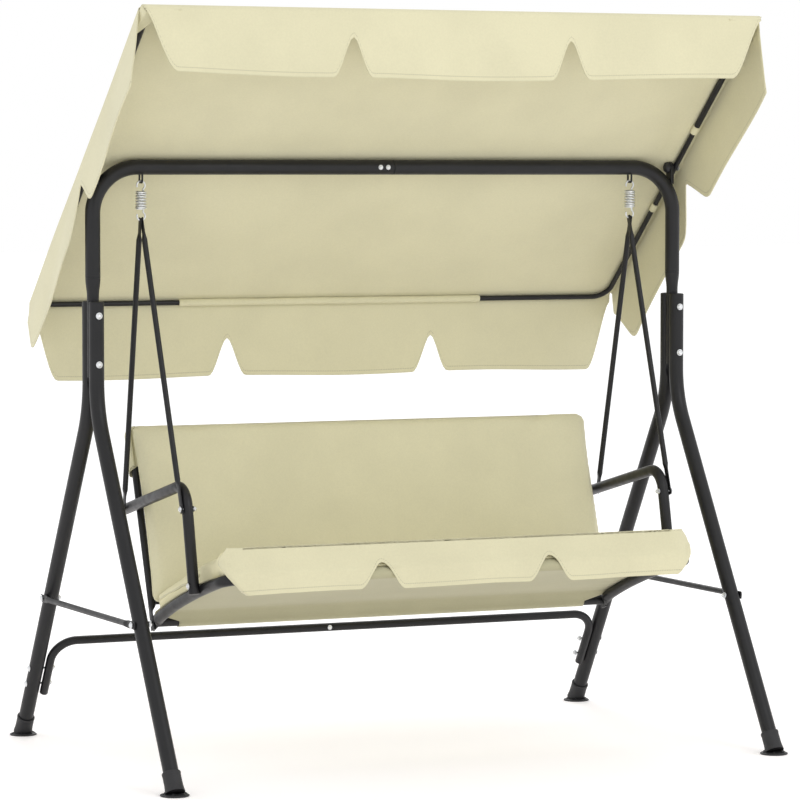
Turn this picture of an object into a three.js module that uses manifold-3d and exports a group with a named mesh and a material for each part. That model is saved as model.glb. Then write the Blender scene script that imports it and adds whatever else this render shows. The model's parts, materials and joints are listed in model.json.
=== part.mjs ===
// Three-seat garden swing: two A-shaped leg pairs, a top bar, a padded seat hung on coil springs, and a
// canopy that tilts. Millimetres, +Z up, front towards -Y, origin on the floor at the middle of the four feet.
import * as THREE from "three";
import { mergeVertices } from "three/addons/utils/BufferGeometryUtils.js";
import Module from "manifold-3d";

const wasm = await Module();
wasm.setup();

// ---------------------------------------------------------------- driving dimensions
const GAP = 0.4; // clearance between pieces that touch
const LEG = { x: 815, footY: 555, topY: 25, topZ: 1155, bendZ: 888, bendRadius: 260, r: 19, wall: 1.2 };
const FOOT = { r: 35.5, padH: 5, rim: 2.5, cupR: 22.5, cupTop: 46, cupLow: -20, legLift: 8 };
const BAR = {
  z: 1490, r: 19, wall: 1.2, bendRadius: 118, swagedR: 15, swageTop: 1215, swageBottom: 1165, endZ: 968,
};
const SPIGOT = { reach: 60, root: 40, collarR: 18.9, collarAt: -8, collarLength: 6 };
const LEG_BOLT_Z = [1122, 1001];
const BRACKET = { x: 687, y: 10, z: 1451.5, r: 2.5 };
const SPRING = {
  wire: 1.6, coilR: 12, hookR: 8, turns: 6, perTurn: 12,
  topZ: 1455.9, coilTop: 1430, coilBottom: 1385, bottomZ: 1357.6,
};
const BRACE = { r: 7.5, wall: 1, z: 384, reach: 14, pressed: { flat: 40, length: 62 } };
const STRETCHER = { r: 11, wall: 1.2, z: 264, y: 480, endZ: 120, bendRadius: 62 };
const PIVOT_Z = 1490; // height of the canopy's pivots, level with the bar
const TILT = THREE.MathUtils.degToRad(41.8);
const CANOPY = {
  sideX: 822, frontS: -561, rearS: 530, spliceS: -160, frontR: 8, rearR: 6.8, wall: 0.8,
  cornerRadius: 45, clothX: 838, cloth: 2.5, under: 8.8, ridge: 20.6, ridgeTurns: [-22, 0, 22], overlap: 40,
};
const VALANCE = { notchDepth: 97, t: 3 };
const FRONT_VALANCE = { y: -427, top: 1871, low: 1706, notchX: 296, corner: 60, slot: 46 };
const REAR_VALANCE = { y: 402.4, x: 818, top: 1136, low: 940, notchX: 295, corner: 50, slot: 52 };
const SIDE_VALANCE = {
  topX: 842, flare: 24, drop: 195, aboveTube: 12,
  outline: [
    [-424, 1874], [-424, 1687], [-116, 1408], [-22, 1448], [6, 1310], [306, 1017], [396, 1102], [396, 1142],
  ],
};
const ARM = {
  x: 660, r: 14, wall: 1.2, rear: [190, 619], corner: [-230.6, 714.5], foot: [-287.5, 449], bendRadius: 58,
};
const SIDE = {
  x: 635, r: 14, wall: 1.2, rear: [58, 337], control: [-93.5, 412.8], front: [-390, 484],
  tail: 6, pressed: { flat: 26, length: 46, half: 2.5, shift: 1 },
};
const RAIL = { frontY: -438.5, frontZ: 496, cornerRadius: 48, halfSpan: 520, spigot: 30 };
const REAR_RAIL = { r: 12.5, wall: 1.2, y: 50, z: 342, halfSpan: 629.3 };
const BACK = {
  x: 636, r: 9.5, wall: 1, foot: [47, 322], top: [215.6, 806], bendRadius: 45,
  pressed: { flat: 44, length: 64, half: 2, shift: 5.2 },
};
const BACK_LOW = { r: 8, wall: 1, z: 392 };
const HANGER = {
  r: 7, wall: 1, topX: 687, plateGap: 2.3, eyeZ: 1357, eyeR: 4.2,
  bottomX: 676.6, front: [-247, 653], rear: [158, 627],
  pastEye: 7, pastHole: 10, pressed: { flat: 38, length: 54 }, longPressed: { flat: 66, length: 88 },
  bolt: { frontGrip: 34.5, rearGrip: 53.7, outset: 3, headR: 6, nutR: 5.8 },
};
const CUSHION = {
  x: 640, lift: 15.5, thick: 41, roll: [[-385, 556], [-418, 573], [-444, 573], [-452.4, 560], [-452.4, 530]],
};
const SLING = { x: 564, t: 0.9 };
const BACK_PAD = { x: 641, thick: 54, top: 832, low: 427, offPost: 0.6, lowSlant: 16, topSlant: 8 };
const FLAP = { y: -453, t: 4, top: 574, low: 455, notchZ: 527, x: 650, notchX: 229.5, corner: 45, slot: 32 };
const LUG = { x0: 803, x1: 812, r: 15, foot: 1437, bossR: 9 };
const BOLT_R = 3;
const HOLE_R = BOLT_R + 0.5;
const PRESSED = 2; // half thickness of a tube's pressed end

// ---------------------------------------------------------------- solids and meshes
const X = new THREE.Vector3(1, 0, 0);
const Y = new THREE.Vector3(0, 1, 0);
const Z = new THREE.Vector3(0, 0, 1);
const v3 = (x, y, z) => new THREE.Vector3(x, y, z);

function toSolid(geometry) {
  const flat = new THREE.BufferGeometry().setAttribute("position", geometry.getAttribute("position").clone());
  if (geometry.index) flat.setIndex(geometry.index.clone());
  const merged = mergeVertices(flat, 1e-3);
  const vertProperties = merged.attributes.position.array;
  const triVerts = new Uint32Array(merged.index.array);
  const made = new wasm.Manifold(new wasm.Mesh({ numProp: 3, vertProperties, triVerts }));
  if (made.volume() > 0) return made;
  for (let i = 0; i < triVerts.length; i += 3) {
    [triVerts[i + 1], triVerts[i + 2]] = [triVerts[i + 2], triVerts[i + 1]];
  }
  return new wasm.Manifold(new wasm.Mesh({ numProp: 3, vertProperties, triVerts }));
}

function toGeometry(solid) {
  const made = solid.getMesh();
  const positions = new Float32Array(made.numVert * 3);
  for (let i = 0; i < made.numVert; i++) {
    positions.set(made.vertProperties.subarray(i * made.numProp, i * made.numProp + 3), i * 3);
  }
  const geometry = new THREE.BufferGeometry();
  geometry.setAttribute("position", new THREE.BufferAttribute(positions, 3));
  geometry.setIndex(new THREE.BufferAttribute(made.triVerts, 1));
  return geometry;
}

const FINISH = {
  frame: { color: 0x2c2c2e, roughness: 0.45, metalness: 0.3 },
  zinc: { color: 0xd8dadc, roughness: 0.3, metalness: 0.9 },
  cloth: { color: 0xd6d0aa, roughness: 0.9, metalness: 0 },
  rubber: { color: 0x1d1d1e, roughness: 0.7, metalness: 0 },
};

const swing = new THREE.Group();
function add(name, solid, finish) {
  const piece = new THREE.Mesh(toGeometry(solid), new THREE.MeshStandardMaterial(FINISH[finish]));
  piece.name = name;
  swing.add(piece);
  return piece;
}
// Both hands of a piece that is drawn for the +X side.
function addPair(name, solid, finish) {
  add(name + "_right", solid, finish);
  add(name + "_left", solid.mirror([1, 0, 0]), finish);
}

// ---------------------------------------------------------------- shapes
function ring(r, sides, turn = 0.5) {
  const points = [];
  for (let i = 0; i < sides; i++) {
    const a = ((i + turn) / sides) * 2 * Math.PI;
    points.push(new THREE.Vector2(r * Math.cos(a), r * Math.sin(a)));
  }
  return points;
}

// A path whose samples are its own stations, so a straight run costs no extra sections.
class Stations extends THREE.Curve {
  constructor(points, tangents) {
    super();
    this.points = points;
    this.tangents = tangents;
  }
  getPoint(t, target = new THREE.Vector3()) {
    return target.copy(this.points[Math.round(t * (this.points.length - 1))]);
  }
  getPointAt(u, target) {
    return this.getPoint(u, target);
  }
  getTangentAt(u, target = new THREE.Vector3()) {
    return target.copy(this.tangents[Math.round(u * (this.points.length - 1))]);
  }
}

// Stations along a polyline whose inner corners are rounded to the given radius.
function bentPath(corners, radius, step = 15) {
  const points = [corners[0].clone()];
  const tangents = [corners[1].clone().sub(corners[0]).normalize()];
  for (let i = 1; i < corners.length - 1; i++) {
    const into = corners[i].clone().sub(corners[i - 1]).normalize();
    const out = corners[i + 1].clone().sub(corners[i]).normalize();
    const angle = into.angleTo(out);
    if (angle < 1e-3) {
      points.push(corners[i].clone());
      tangents.push(out);
      continue;
    }
    const back = radius * Math.tan(angle / 2);
    const start = corners[i].clone().addScaledVector(into, -back);
    const side = out.clone().addScaledVector(into, -out.dot(into)).normalize();
    const count = Math.max(2, Math.ceil(THREE.MathUtils.radToDeg(angle) / step));
    for (let k = 0; k <= count; k++) {
      const a = (angle * k) / count;
      const p = start.clone().addScaledVector(into, radius * Math.sin(a));
      points.push(p.addScaledVector(side, radius * (1 - Math.cos(a))));
      tangents.push(into.clone().multiplyScalar(Math.cos(a)).addScaledVector(side, Math.sin(a)));
    }
  }
  points.push(corners.at(-1).clone());
  tangents.push(corners.at(-1).clone().sub(corners.at(-2)).normalize());
  return new Stations(points, tangents);
}

function sweep(path, r, sides, holeR = 0) {
  const shape = new THREE.Shape(ring(r, sides));
  if (holeR > 0) shape.holes.push(new THREE.Path(ring(holeR, sides).reverse()));
  const steps = path.points.length - 1;
  return new THREE.ExtrudeGeometry(shape, { extrudePath: path, steps, bevelEnabled: false });
}
const tube = (path, r, wall, sides = 12) => toSolid(sweep(path, r, sides, r - wall));
const rod = (path, r, sides = 12) => toSolid(sweep(path, r, sides));

// Presses the end of a tube flat: thin along n, wider across, over the given length from the tip.
function pressEnd(geometry, tip, inward, n, r, wall, { flat, length, half = PRESSED, shift = 0 }) {
  const position = geometry.attributes.position;
  const across = inward.clone().cross(n).normalize();
  const p = new THREE.Vector3();
  for (let i = 0; i < position.count; i++) {
    p.fromBufferAttribute(position, i).sub(tip);
    const along = p.dot(inward);
    if (along > length || Math.abs(p.dot(n)) > 4 * r) continue;
    const t = 1 - THREE.MathUtils.smoothstep(along, flat, length);
    const high = p.dot(n);
    const wide = p.dot(across);
    const bore = Math.hypot(high, wide) < r - wall / 2;
    const squeeze = bore ? 0.5 / (r - wall) : half / r;
    p.addScaledVector(n, (high * (squeeze - 1) + shift) * t).addScaledVector(across, wide * 0.3 * t);
    p.add(tip);
    position.setXYZ(i, p.x, p.y, p.z);
  }
  return geometry;
}

// A straight tube with both ends pressed flat, its stations close together where it is pressed.
function pressedTube(from, to, n, r, wall, start, end = start) {
  const dir = to.clone().sub(from).normalize();
  const span = from.distanceTo(to);
  const near = ({ flat, length }) => [0, flat, (flat * 2 + length) / 3, (flat + length * 2) / 3, length];
  const marks = near(start).concat(near(end).map((d) => span - d).reverse());
  const points = marks.map((d) => from.clone().addScaledVector(dir, d));
  const geometry = sweep(new Stations(points, marks.map(() => dir.clone())), r, 12, r - wall);
  pressEnd(geometry, from, dir, n, r, wall, start);
  pressEnd(geometry, to, dir.clone().negate(), n, r, wall, end);
  return toSolid(geometry);
}

// A turned piece: profile of [radius, height] pairs, axis from the given point along dir.
function turned(profile, at, dir, sides = 12) {
  const points = profile.map(([r, h]) => new THREE.Vector2(r, h));
  const geometry = new THREE.LatheGeometry(points, sides, Math.PI / sides);
  geometry.applyQuaternion(new THREE.Quaternion().setFromUnitVectors(Y, dir)).translate(at.x, at.y, at.z);
  return toSolid(geometry);
}
// The biggest of the bodies a cut leaves.
const largest = (solid) => solid.decompose().sort((a, b) => b.volume() - a.volume())[0];
function drill(at, dir, r, half, sides = 8) {
  return turned([[0, -half], [r, -half], [r, half], [0, half]], at, dir, sides);
}

// A bolt with a low domed head at `at`, its shank along dir, and a nut at the far end.
function bolt(at, dir, grip, headR = 6.5, nutR = 6.2) {
  const end = grip + 9;
  const profile = [
    [0, -4.5], [headR * 0.6, -4], [headR, -1.5], [headR, 0], [BOLT_R, 0], [BOLT_R, grip],
    [nutR, grip], [nutR, grip + 5.5], [BOLT_R, grip + 5.5], [BOLT_R, end], [0, end],
  ];
  return turned(profile, at, dir, 8);
}

function box(x0, x1, y0, y1, z0, z1) {
  const geometry = new THREE.BoxGeometry(x1 - x0, y1 - y0, z1 - z0);
  return toSolid(geometry.translate((x0 + x1) / 2, (y0 + y1) / 2, (z0 + z1) / 2));
}

// A profile in the Y-Z plane, extruded along X between two planes.
function prismX(outline, x0, x1) {
  const shape = new THREE.Shape(outline.map(([y, z]) => new THREE.Vector2(y, z)));
  const geometry = new THREE.ExtrudeGeometry(shape, { depth: x1 - x0, bevelEnabled: false });
  const turn = new THREE.Matrix4().makeBasis(Y, Z, X).setPosition(x0, 0, 0);
  return toSolid(geometry.applyMatrix4(turn));
}

// A profile in the X-Z plane, extruded along Y between two planes.
function prismY(outline, y0, y1) {
  const shape = new THREE.Shape(outline.map(([x, z]) => new THREE.Vector2(x, z)));
  const geometry = new THREE.ExtrudeGeometry(shape, { depth: y1 - y0, bevelEnabled: false });
  const turn = new THREE.Matrix4().makeBasis(X, Z, Y.clone().negate()).setPosition(0, y1, 0);
  return toSolid(geometry.applyMatrix4(turn));
}

// ---------------------------------------------------------------- legs, feet and top bar
function legPath(side) {
  const top = v3(LEG.x, side * LEG.topY, LEG.topZ);
  const bend = v3(LEG.x, side * LEG.topY, LEG.bendZ);
  const foot = v3(LEG.x, side * LEG.footY, FOOT.padH + FOOT.legLift);
  return bentPath([top, bend, foot], LEG.bendRadius, 8);
}

function legBolts(z, half) {
  return drill(v3(LEG.x, 0, z), Y, HOLE_R, half);
}

// The upper end is pressed hollow on its inner side, to hold the bar's end.
function makeLeg(side) {
  const middle = v3(LEG.x, 0, (LEG.topZ + BAR.endZ) / 2);
  const half = (LEG.topZ - BAR.endZ) / 2 + 2.5;
  const seat = drill(middle, Z, BAR.swagedR + GAP, half, 12);
  const backing = drill(middle, Z, BAR.swagedR + GAP + LEG.wall, half + 2, 12);
  const bore = rod(legPath(side), LEG.r - LEG.wall);
  const openTop = drill(v3(LEG.x, side * LEG.topY, LEG.topZ), Z, LEG.r - LEG.wall, 3, 12);
  let leg = largest(rod(legPath(side), LEG.r).subtract(bore.subtract(backing)).subtract(seat));
  leg = leg.subtract(openTop.subtract(backing));
  for (const z of LEG_BOLT_Z) leg = leg.subtract(legBolts(z, 60));
  return leg.subtract(drill(v3(LEG.x, side * braceY(), BRACE.z), X, HOLE_R, 40));
}

// Where the leg's sloping part is at a height: used for everything that is fixed to it.
function legYAt(z) {
  const { points } = legPath(1);
  const a = points.at(-2);
  const b = points.at(-1);
  return a.y + ((b.y - a.y) * (a.z - z)) / (a.z - b.z);
}
const braceY = () => legYAt(BRACE.z);

function makeFoot(side) {
  const { points, tangents } = legPath(side);
  const end = points.at(-1);
  const axis = tangents.at(-1).clone().negate();
  const { r, padH, rim, cupR, cupTop, cupLow } = FOOT;
  const pad = turned([[0, 0], [r, 0], [r, rim], [r - 2, padH], [0, padH]], v3(LEG.x, end.y, 0), Z, 20);
  const profile = [[0, cupLow], [cupR, cupLow], [cupR, cupTop - 3], [cupR - 2, cupTop], [0, cupTop]];
  const cup = turned(profile, end, axis, 16);
  const aboveFloor = box(LEG.x - 60, LEG.x + 60, end.y - 90, end.y + 90, 0, 100);
  const socket = turned([[0, -GAP], [LEG.r + GAP, -GAP], [LEG.r + GAP, 80], [0, 80]], end, axis, 12);
  return pad.add(cup.intersect(aboveFloor)).subtract(socket);
}

const legRear = makeLeg(1);
const footRear = makeFoot(1);
addPair("leg_rear", legRear, "frame");
addPair("leg_front", legRear.mirror([0, 1, 0]), "frame");
addPair("foot_rear", footRear, "rubber");
addPair("foot_front", footRear.mirror([0, 1, 0]), "rubber");

function barPath(fromX) {
  const corners = [v3(fromX, 0, BAR.z), v3(LEG.x, 0, BAR.z), v3(LEG.x, 0, BAR.swageTop)];
  return bentPath(corners, BAR.bendRadius, 11.25);
}

// The bar's end is swaged down to slip between the two legs.
function barEnd(full, small) {
  const length = BAR.swageTop - BAR.endZ;
  const taper = [[0, 0], [full, 0], [small, BAR.swageTop - BAR.swageBottom], [small, length], [0, length]];
  return turned(taper, v3(LEG.x, 0, BAR.swageTop), Z.clone().negate(), 12);
}

function makeBar() {
  const outer = rod(barPath(0), BAR.r).add(barEnd(BAR.r, BAR.swagedR));
  const inner = rod(barPath(-1), BAR.r - BAR.wall).add(barEnd(BAR.r - BAR.wall, BAR.swagedR - BAR.wall));
  const openEnd = drill(v3(LEG.x, 0, BAR.endZ), Z, BAR.swagedR - BAR.wall, 4, 12);
  let bar = outer.subtract(inner).subtract(openEnd);
  for (const z of LEG_BOLT_Z) bar = bar.subtract(legBolts(z, 60));
  for (const y of [-BRACKET.y, BRACKET.y]) {
    bar = bar.subtract(drill(v3(BRACKET.x, y, BAR.z - BAR.r), Z, BRACKET.r + 0.5, 16));
  }
  return bar;
}

// The short tube that joins the bar's halves: held by a collar in the left one, slipped into the right one.
function makeSpigot() {
  const slip = BAR.r - BAR.wall - GAP;
  const run = (grow) => [-SPIGOT.root - grow, SPIGOT.reach + grow].map((x) => v3(x, 0, BAR.z));
  const bore = rod(new Stations(run(1), [X, X]), slip - BAR.wall);
  const { collarR, collarAt, collarLength } = SPIGOT;
  const ringProfile = [[0, 0], [collarR, 0], [collarR, collarLength], [0, collarLength]];
  const collar = turned(ringProfile, v3(collarAt, 0, BAR.z), X, 12);
  return rod(new Stations(run(0), [X, X]), slip).add(collar).subtract(bore);
}
const bar = makeBar();
const halfGap = box(-1, GAP / 2, -40, 40, BAR.z - 40, BAR.z + 40);
add("top_bar_right", bar.subtract(halfGap), "frame");
add("top_bar_left", bar.mirror([1, 0, 0]).add(makeSpigot()), "frame");

for (const [i, z] of LEG_BOLT_Z.entries()) {
  const reach = LEG.topY + LEG.r + GAP;
  addPair("leg_bolt_" + ["upper", "lower"][i], bolt(v3(LEG.x, -reach, z), Y, 2 * reach), "zinc");
}

// ---------------------------------------------------------------- braces and rear stretcher
const braceX = LEG.x + LEG.r + GAP + PRESSED;
function makeBrace() {
  const y = braceY();
  const from = v3(braceX, -y - BRACE.reach, BRACE.z);
  const to = v3(braceX, y + BRACE.reach, BRACE.z);
  let brace = pressedTube(from, to, X, BRACE.r, BRACE.wall, BRACE.pressed);
  for (const side of [-1, 1]) brace = brace.subtract(drill(v3(braceX, side * y, BRACE.z), X, HOLE_R, 12));
  return brace;
}
addPair("side_brace", makeBrace(), "frame");
for (const side of [-1, 1]) {
  const start = v3(braceX + PRESSED + GAP, side * braceY(), BRACE.z);
  const grip = 2 * LEG.r + 3 * GAP + 2 * PRESSED;
  addPair("brace_bolt_" + (side < 0 ? "front" : "rear"), bolt(start, X.clone().negate(), grip), "zinc");
}

function makeStretcher() {
  const x = LEG.x - LEG.r - GAP - STRETCHER.r;
  const corner = v3(x, STRETCHER.y - legYAt(STRETCHER.endZ) + legYAt(STRETCHER.z), STRETCHER.z);
  const corners = [v3(GAP / 2, corner.y, STRETCHER.z), corner, v3(x, STRETCHER.y, STRETCHER.endZ)];
  return tube(bentPath(corners, STRETCHER.bendRadius, 15), STRETCHER.r, STRETCHER.wall);
}
addPair("stretcher", makeStretcher(), "frame");

// ---------------------------------------------------------------- spring brackets and springs
function makeBracket() {
  const { x, y, z, r } = BRACKET;
  const inBar = BAR.z - BAR.r + 9;
  const corners = [v3(x, -y, inBar), v3(x, -y, z), v3(x, y, z), v3(x, y, inBar)];
  return rod(bentPath(corners, 5, 30), r, 8);
}
addPair("spring_bracket", makeBracket(), "frame");

// A round hook: sign is +1 for the upper one, open at its side.
function hookPoints(z, sign) {
  const { hookR } = SPRING;
  const angles = [...Array(11).keys()].map((k) => (-0.15 + 0.13 * k) * Math.PI);
  return angles.map((a) => v3(hookR * Math.cos(a), 0, z - sign * hookR + sign * hookR * Math.sin(a)));
}

// One wire: a hook lying across the bracket, the coils, and a hook that carries the hangers.
function makeSpring() {
  const { coilR, coilTop, coilBottom, turns, perTurn, topZ, bottomZ } = SPRING;
  const points = hookPoints(topZ, 1).reverse();
  const pitch = (coilTop - coilBottom) / (turns * perTurn);
  for (let k = 0; k <= turns * perTurn; k++) {
    const a = (k / perTurn) * 2 * Math.PI;
    points.push(v3(coilR * Math.cos(a), coilR * Math.sin(a), coilTop - pitch * k));
  }
  points.push(...hookPoints(bottomZ, -1));
  const tangents = points.map((p, i) => {
    const next = points[Math.min(i + 1, points.length - 1)];
    return next.clone().sub(points[Math.max(i - 1, 0)]).normalize();
  });
  return rod(new Stations(points, tangents), SPRING.wire, 6).translate([BRACKET.x, 0, 0]);
}
addPair("spring", makeSpring(), "zinc");

// ---------------------------------------------------------------- hangers
function makeHanger(bottom, side) {
  const plateX = HANGER.topX + side * HANGER.plateGap;
  const top = v3(plateX, 0, HANGER.eyeZ);
  const low = v3(HANGER.bottomX, bottom[0], bottom[1]);
  const dir = low.clone().sub(top).normalize();
  const from = top.clone().addScaledVector(dir, -HANGER.pastEye);
  const to = low.clone().addScaledVector(dir, HANGER.pastHole);
  const n = X.clone().addScaledVector(dir, -X.dot(dir)).normalize();
  const foot = side < 0 ? HANGER.longPressed : HANGER.pressed;
  const hanger = pressedTube(from, to, n, HANGER.r, HANGER.wall, HANGER.pressed, foot);
  const eye = drill(v3(plateX, 0, HANGER.eyeZ), X, HANGER.eyeR, 12);
  return hanger.subtract(eye).subtract(drill(low, X, HOLE_R, 12));
}
addPair("hanger_front", makeHanger(HANGER.front, -1), "frame");
addPair("hanger_rear", makeHanger(HANGER.rear, 1), "frame");
for (const place of ["front", "rear"]) {
  const { outset, headR, nutR } = HANGER.bolt;
  const head = v3(HANGER.bottomX + outset, ...HANGER[place]);
  const grip = HANGER.bolt[place + "Grip"];
  addPair("hanger_bolt_" + place, bolt(head, X.clone().negate(), grip, headR, nutR), "zinc");
}

// ---------------------------------------------------------------- seat frame
function sideTubePath() {
  const at = ([y, z]) => v3(SIDE.x, y, z);
  const curve = new THREE.QuadraticBezierCurve3(at(SIDE.rear), at(SIDE.control), at(SIDE.front));
  const lead = curve.getTangent(0);
  const points = [-SIDE.tail, 2 * SIDE.tail].map((d) => curve.getPoint(0).addScaledVector(lead, d));
  const tangents = [lead.clone(), lead.clone()];
  for (const t of [0.06, 0.1, 0.3, 0.5, 0.7]) {
    points.push(curve.getPoint(t));
    tangents.push(curve.getTangent(t));
  }
  const corner = v3(SIDE.x, RAIL.frontY, RAIL.frontZ);
  const end = v3(RAIL.halfSpan + GAP, RAIL.frontY, RAIL.frontZ);
  const bend = bentPath([at(SIDE.front), corner, end], RAIL.cornerRadius, 18);
  return new Stations(points.concat(bend.points), tangents.concat(bend.tangents));
}

function makeSideTube() {
  const path = sideTubePath();
  const geometry = sweep(path, SIDE.r, 12, SIDE.r - SIDE.wall);
  pressEnd(geometry, path.points[0], path.tangents[0], X, SIDE.r, SIDE.wall, SIDE.pressed);
  return toSolid(geometry);
}

function makeArm() {
  const at = ([y, z]) => v3(ARM.x, y, z);
  const path = bentPath([at(ARM.rear), at(ARM.corner), at(ARM.foot)], ARM.bendRadius, 18);
  let arm = tube(path, ARM.r, ARM.wall);
  arm = arm.subtract(rod(sideTubePath(), SIDE.r + GAP));
  for (const [y, z] of [HANGER.front, HANGER.rear]) arm = arm.subtract(drill(v3(ARM.x, y, z), X, HOLE_R, 40));
  return largest(arm);
}
addPair("seat_side", makeSideTube(), "frame");
addPair("arm", makeArm(), "frame");

// A straight cross tube whose ends are turned down to slip into the tubes beside it.
function railBetween(half, y, z, r, wall, spigot) {
  const s = r - wall - 2 * GAP;
  const profile = [
    [s - wall, -half - spigot], [s, -half - spigot], [s, -half], [r, -half], [r, half], [s, half],
    [s, half + spigot], [s - wall, half + spigot], [s - wall, half - 6], [r - wall, half - 12],
    [r - wall, 12 - half], [s - wall, 6 - half], [s - wall, -half - spigot],
  ];
  return turned(profile, v3(0, y, z), X, 12);
}
function crossTube(half, y, z, r, wall) {
  return tube(new Stations([v3(-half, y, z), v3(half, y, z)], [X, X]), r, wall);
}
const frontRail = railBetween(RAIL.halfSpan, RAIL.frontY, RAIL.frontZ, SIDE.r, SIDE.wall, RAIL.spigot);
add("front_rail", frontRail, "frame");
const rearRail = crossTube(REAR_RAIL.halfSpan, REAR_RAIL.y, REAR_RAIL.z, REAR_RAIL.r, REAR_RAIL.wall);
add("rear_rail", rearRail, "frame");

const backLean = (BACK.top[0] - BACK.foot[0]) / (BACK.top[1] - BACK.foot[1]);
const backYAt = (z) => BACK.foot[0] + backLean * (z - BACK.foot[1]);
function makeBackFrame() {
  const rise = v3(0, BACK.top[0] - BACK.foot[0], BACK.top[1] - BACK.foot[1]).normalize();
  const { flat, length } = BACK.pressed;
  const marks = [0, flat, (flat + length) / 2, length];
  const post = (side) => marks.map((d) => v3(side * BACK.x, ...BACK.foot).addScaledVector(rise, d));
  const corners = [...post(1), v3(BACK.x, ...BACK.top), v3(-BACK.x, ...BACK.top), ...post(-1).reverse()];
  const geometry = sweep(bentPath(corners, BACK.bendRadius, 18), BACK.r, 12, BACK.r - BACK.wall);
  for (const side of [1, -1]) {
    const outward = X.clone().multiplyScalar(side);
    pressEnd(geometry, post(side)[0], rise, outward, BACK.r, BACK.wall, BACK.pressed);
  }
  let frame = toSolid(geometry);
  for (const side of [-1, 1]) {
    frame = frame.subtract(drill(v3(side * BACK.x, ...HANGER.rear), X, HOLE_R, 40));
  }
  return frame;
}
add("back_frame", makeBackFrame(), "frame");
const backLow = crossTube(BACK.x - BACK.r - GAP, backYAt(BACK_LOW.z), BACK_LOW.z, BACK_LOW.r, BACK_LOW.wall);
add("back_low_rail", backLow, "frame");

// ---------------------------------------------------------------- cushions
// Places on the seat's curve, lifted square to it from the side tubes' axes.
const SEAT_STATIONS = [0.13, 0.3, 0.5, 0.7, 0.85, 1];
function seatCurve(lift, stations = SEAT_STATIONS) {
  const ends = [v3(0, ...SIDE.rear), v3(0, ...SIDE.control), v3(0, RAIL.frontY, RAIL.frontZ)];
  const curve = new THREE.QuadraticBezierCurve3(...ends);
  return stations.map((t) => {
    const p = curve.getPoint(t);
    const along = curve.getTangent(t);
    return [p.y + along.z * lift, p.z - along.y * lift];
  });
}

// The seat pad: follows the side tubes' curve and ends in a raised roll under the knees.
function makeSeatCushion() {
  const top = seatCurve(CUSHION.lift + CUSHION.thick, SEAT_STATIONS.slice(0, -1));
  return prismX(seatCurve(CUSHION.lift).concat(top.concat(CUSHION.roll).reverse()), -CUSHION.x, CUSHION.x);
}
add("seat_cushion", makeSeatCushion(), "cloth");

// The cloth the pad lies on: a sleeve round each cross rail, joined by a panel under the pad.
function makeSling() {
  const sleeve = (y, z, r) => {
    const skin = drill(v3(0, y, z), X, r + GAP + SLING.t, SLING.x, 16);
    return skin.subtract(drill(v3(0, y, z), X, r + GAP, SLING.x + 2, 16));
  };
  const stations = [0.02, ...SEAT_STATIONS];
  const top = CUSHION.lift - GAP;
  const panel = seatCurve(top - SLING.t, stations).concat(seatCurve(top, stations).reverse());
  const cloth = prismX(panel, -SLING.x, SLING.x);
  const bores = drill(v3(0, REAR_RAIL.y, REAR_RAIL.z), X, REAR_RAIL.r + GAP, SLING.x + 2, 16);
  return cloth.subtract(bores).add(sleeve(REAR_RAIL.y, REAR_RAIL.z, REAR_RAIL.r));
}
add("seat_sling", makeSling(), "cloth");

function makeBackCushion() {
  const face = BACK.r + GAP + BACK_PAD.offPost;
  const leanCos = 1 / Math.hypot(1, backLean);
  const at = (z, off) => [backYAt(z) - off / leanCos, z];
  const outline = [
    at(BACK_PAD.low + BACK_PAD.lowSlant, face), at(BACK_PAD.low, face + BACK_PAD.thick),
    at(BACK_PAD.top, face + BACK_PAD.thick), at(BACK_PAD.top - BACK_PAD.topSlant, face),
  ];
  return prismX(outline, -BACK_PAD.x, BACK_PAD.x);
}
add("back_cushion", makeBackCushion(), "cloth");

// A hanging hem of three lobes between notches, drawn in its own plane.
function lobes(halfWidth, { top, low, notchX, notchZ, corner, slot }) {
  const right = [
    [0, low], [notchX - slot, low], [notchX - 5, notchZ], [notchX + 5, notchZ], [notchX + slot, low],
    [halfWidth - corner, low], [halfWidth, low + corner], [halfWidth, top],
  ];
  const left = right.slice(1).map(([x, z]) => [-x, z]).reverse();
  return left.concat(right);
}
add("front_flap", prismY(lobes(FLAP.x, FLAP), FLAP.y - FLAP.t, FLAP.y), "cloth");

// ---------------------------------------------------------------- canopy
// Canopy places: s runs down the slope to the rear, h stands up from it, both from the pivot.
function canopyAt(x, s, h) {
  const [sin, cos] = [Math.sin(TILT), Math.cos(TILT)];
  return v3(x, s * cos + h * sin, PIVOT_Z - s * sin + h * cos);
}

function canopyTube(s0, s1, r) {
  const corners = [canopyAt(CANOPY.sideX, s0, 0), canopyAt(CANOPY.sideX, s1, 0), canopyAt(GAP / 2, s1, 0)];
  return tube(bentPath(corners, CANOPY.cornerRadius, 18), r, CANOPY.wall);
}
const canopyRear = canopyTube(CANOPY.spliceS - CANOPY.overlap, CANOPY.rearS, CANOPY.rearR);
const pivotHole = drill(canopyAt(CANOPY.sideX, 0, 0), X, HOLE_R, 20);
addPair("canopy_front_tube", canopyTube(CANOPY.spliceS, CANOPY.frontS, CANOPY.frontR), "frame");
addPair("canopy_rear_tube", canopyRear.subtract(pivotHole), "frame");

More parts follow.
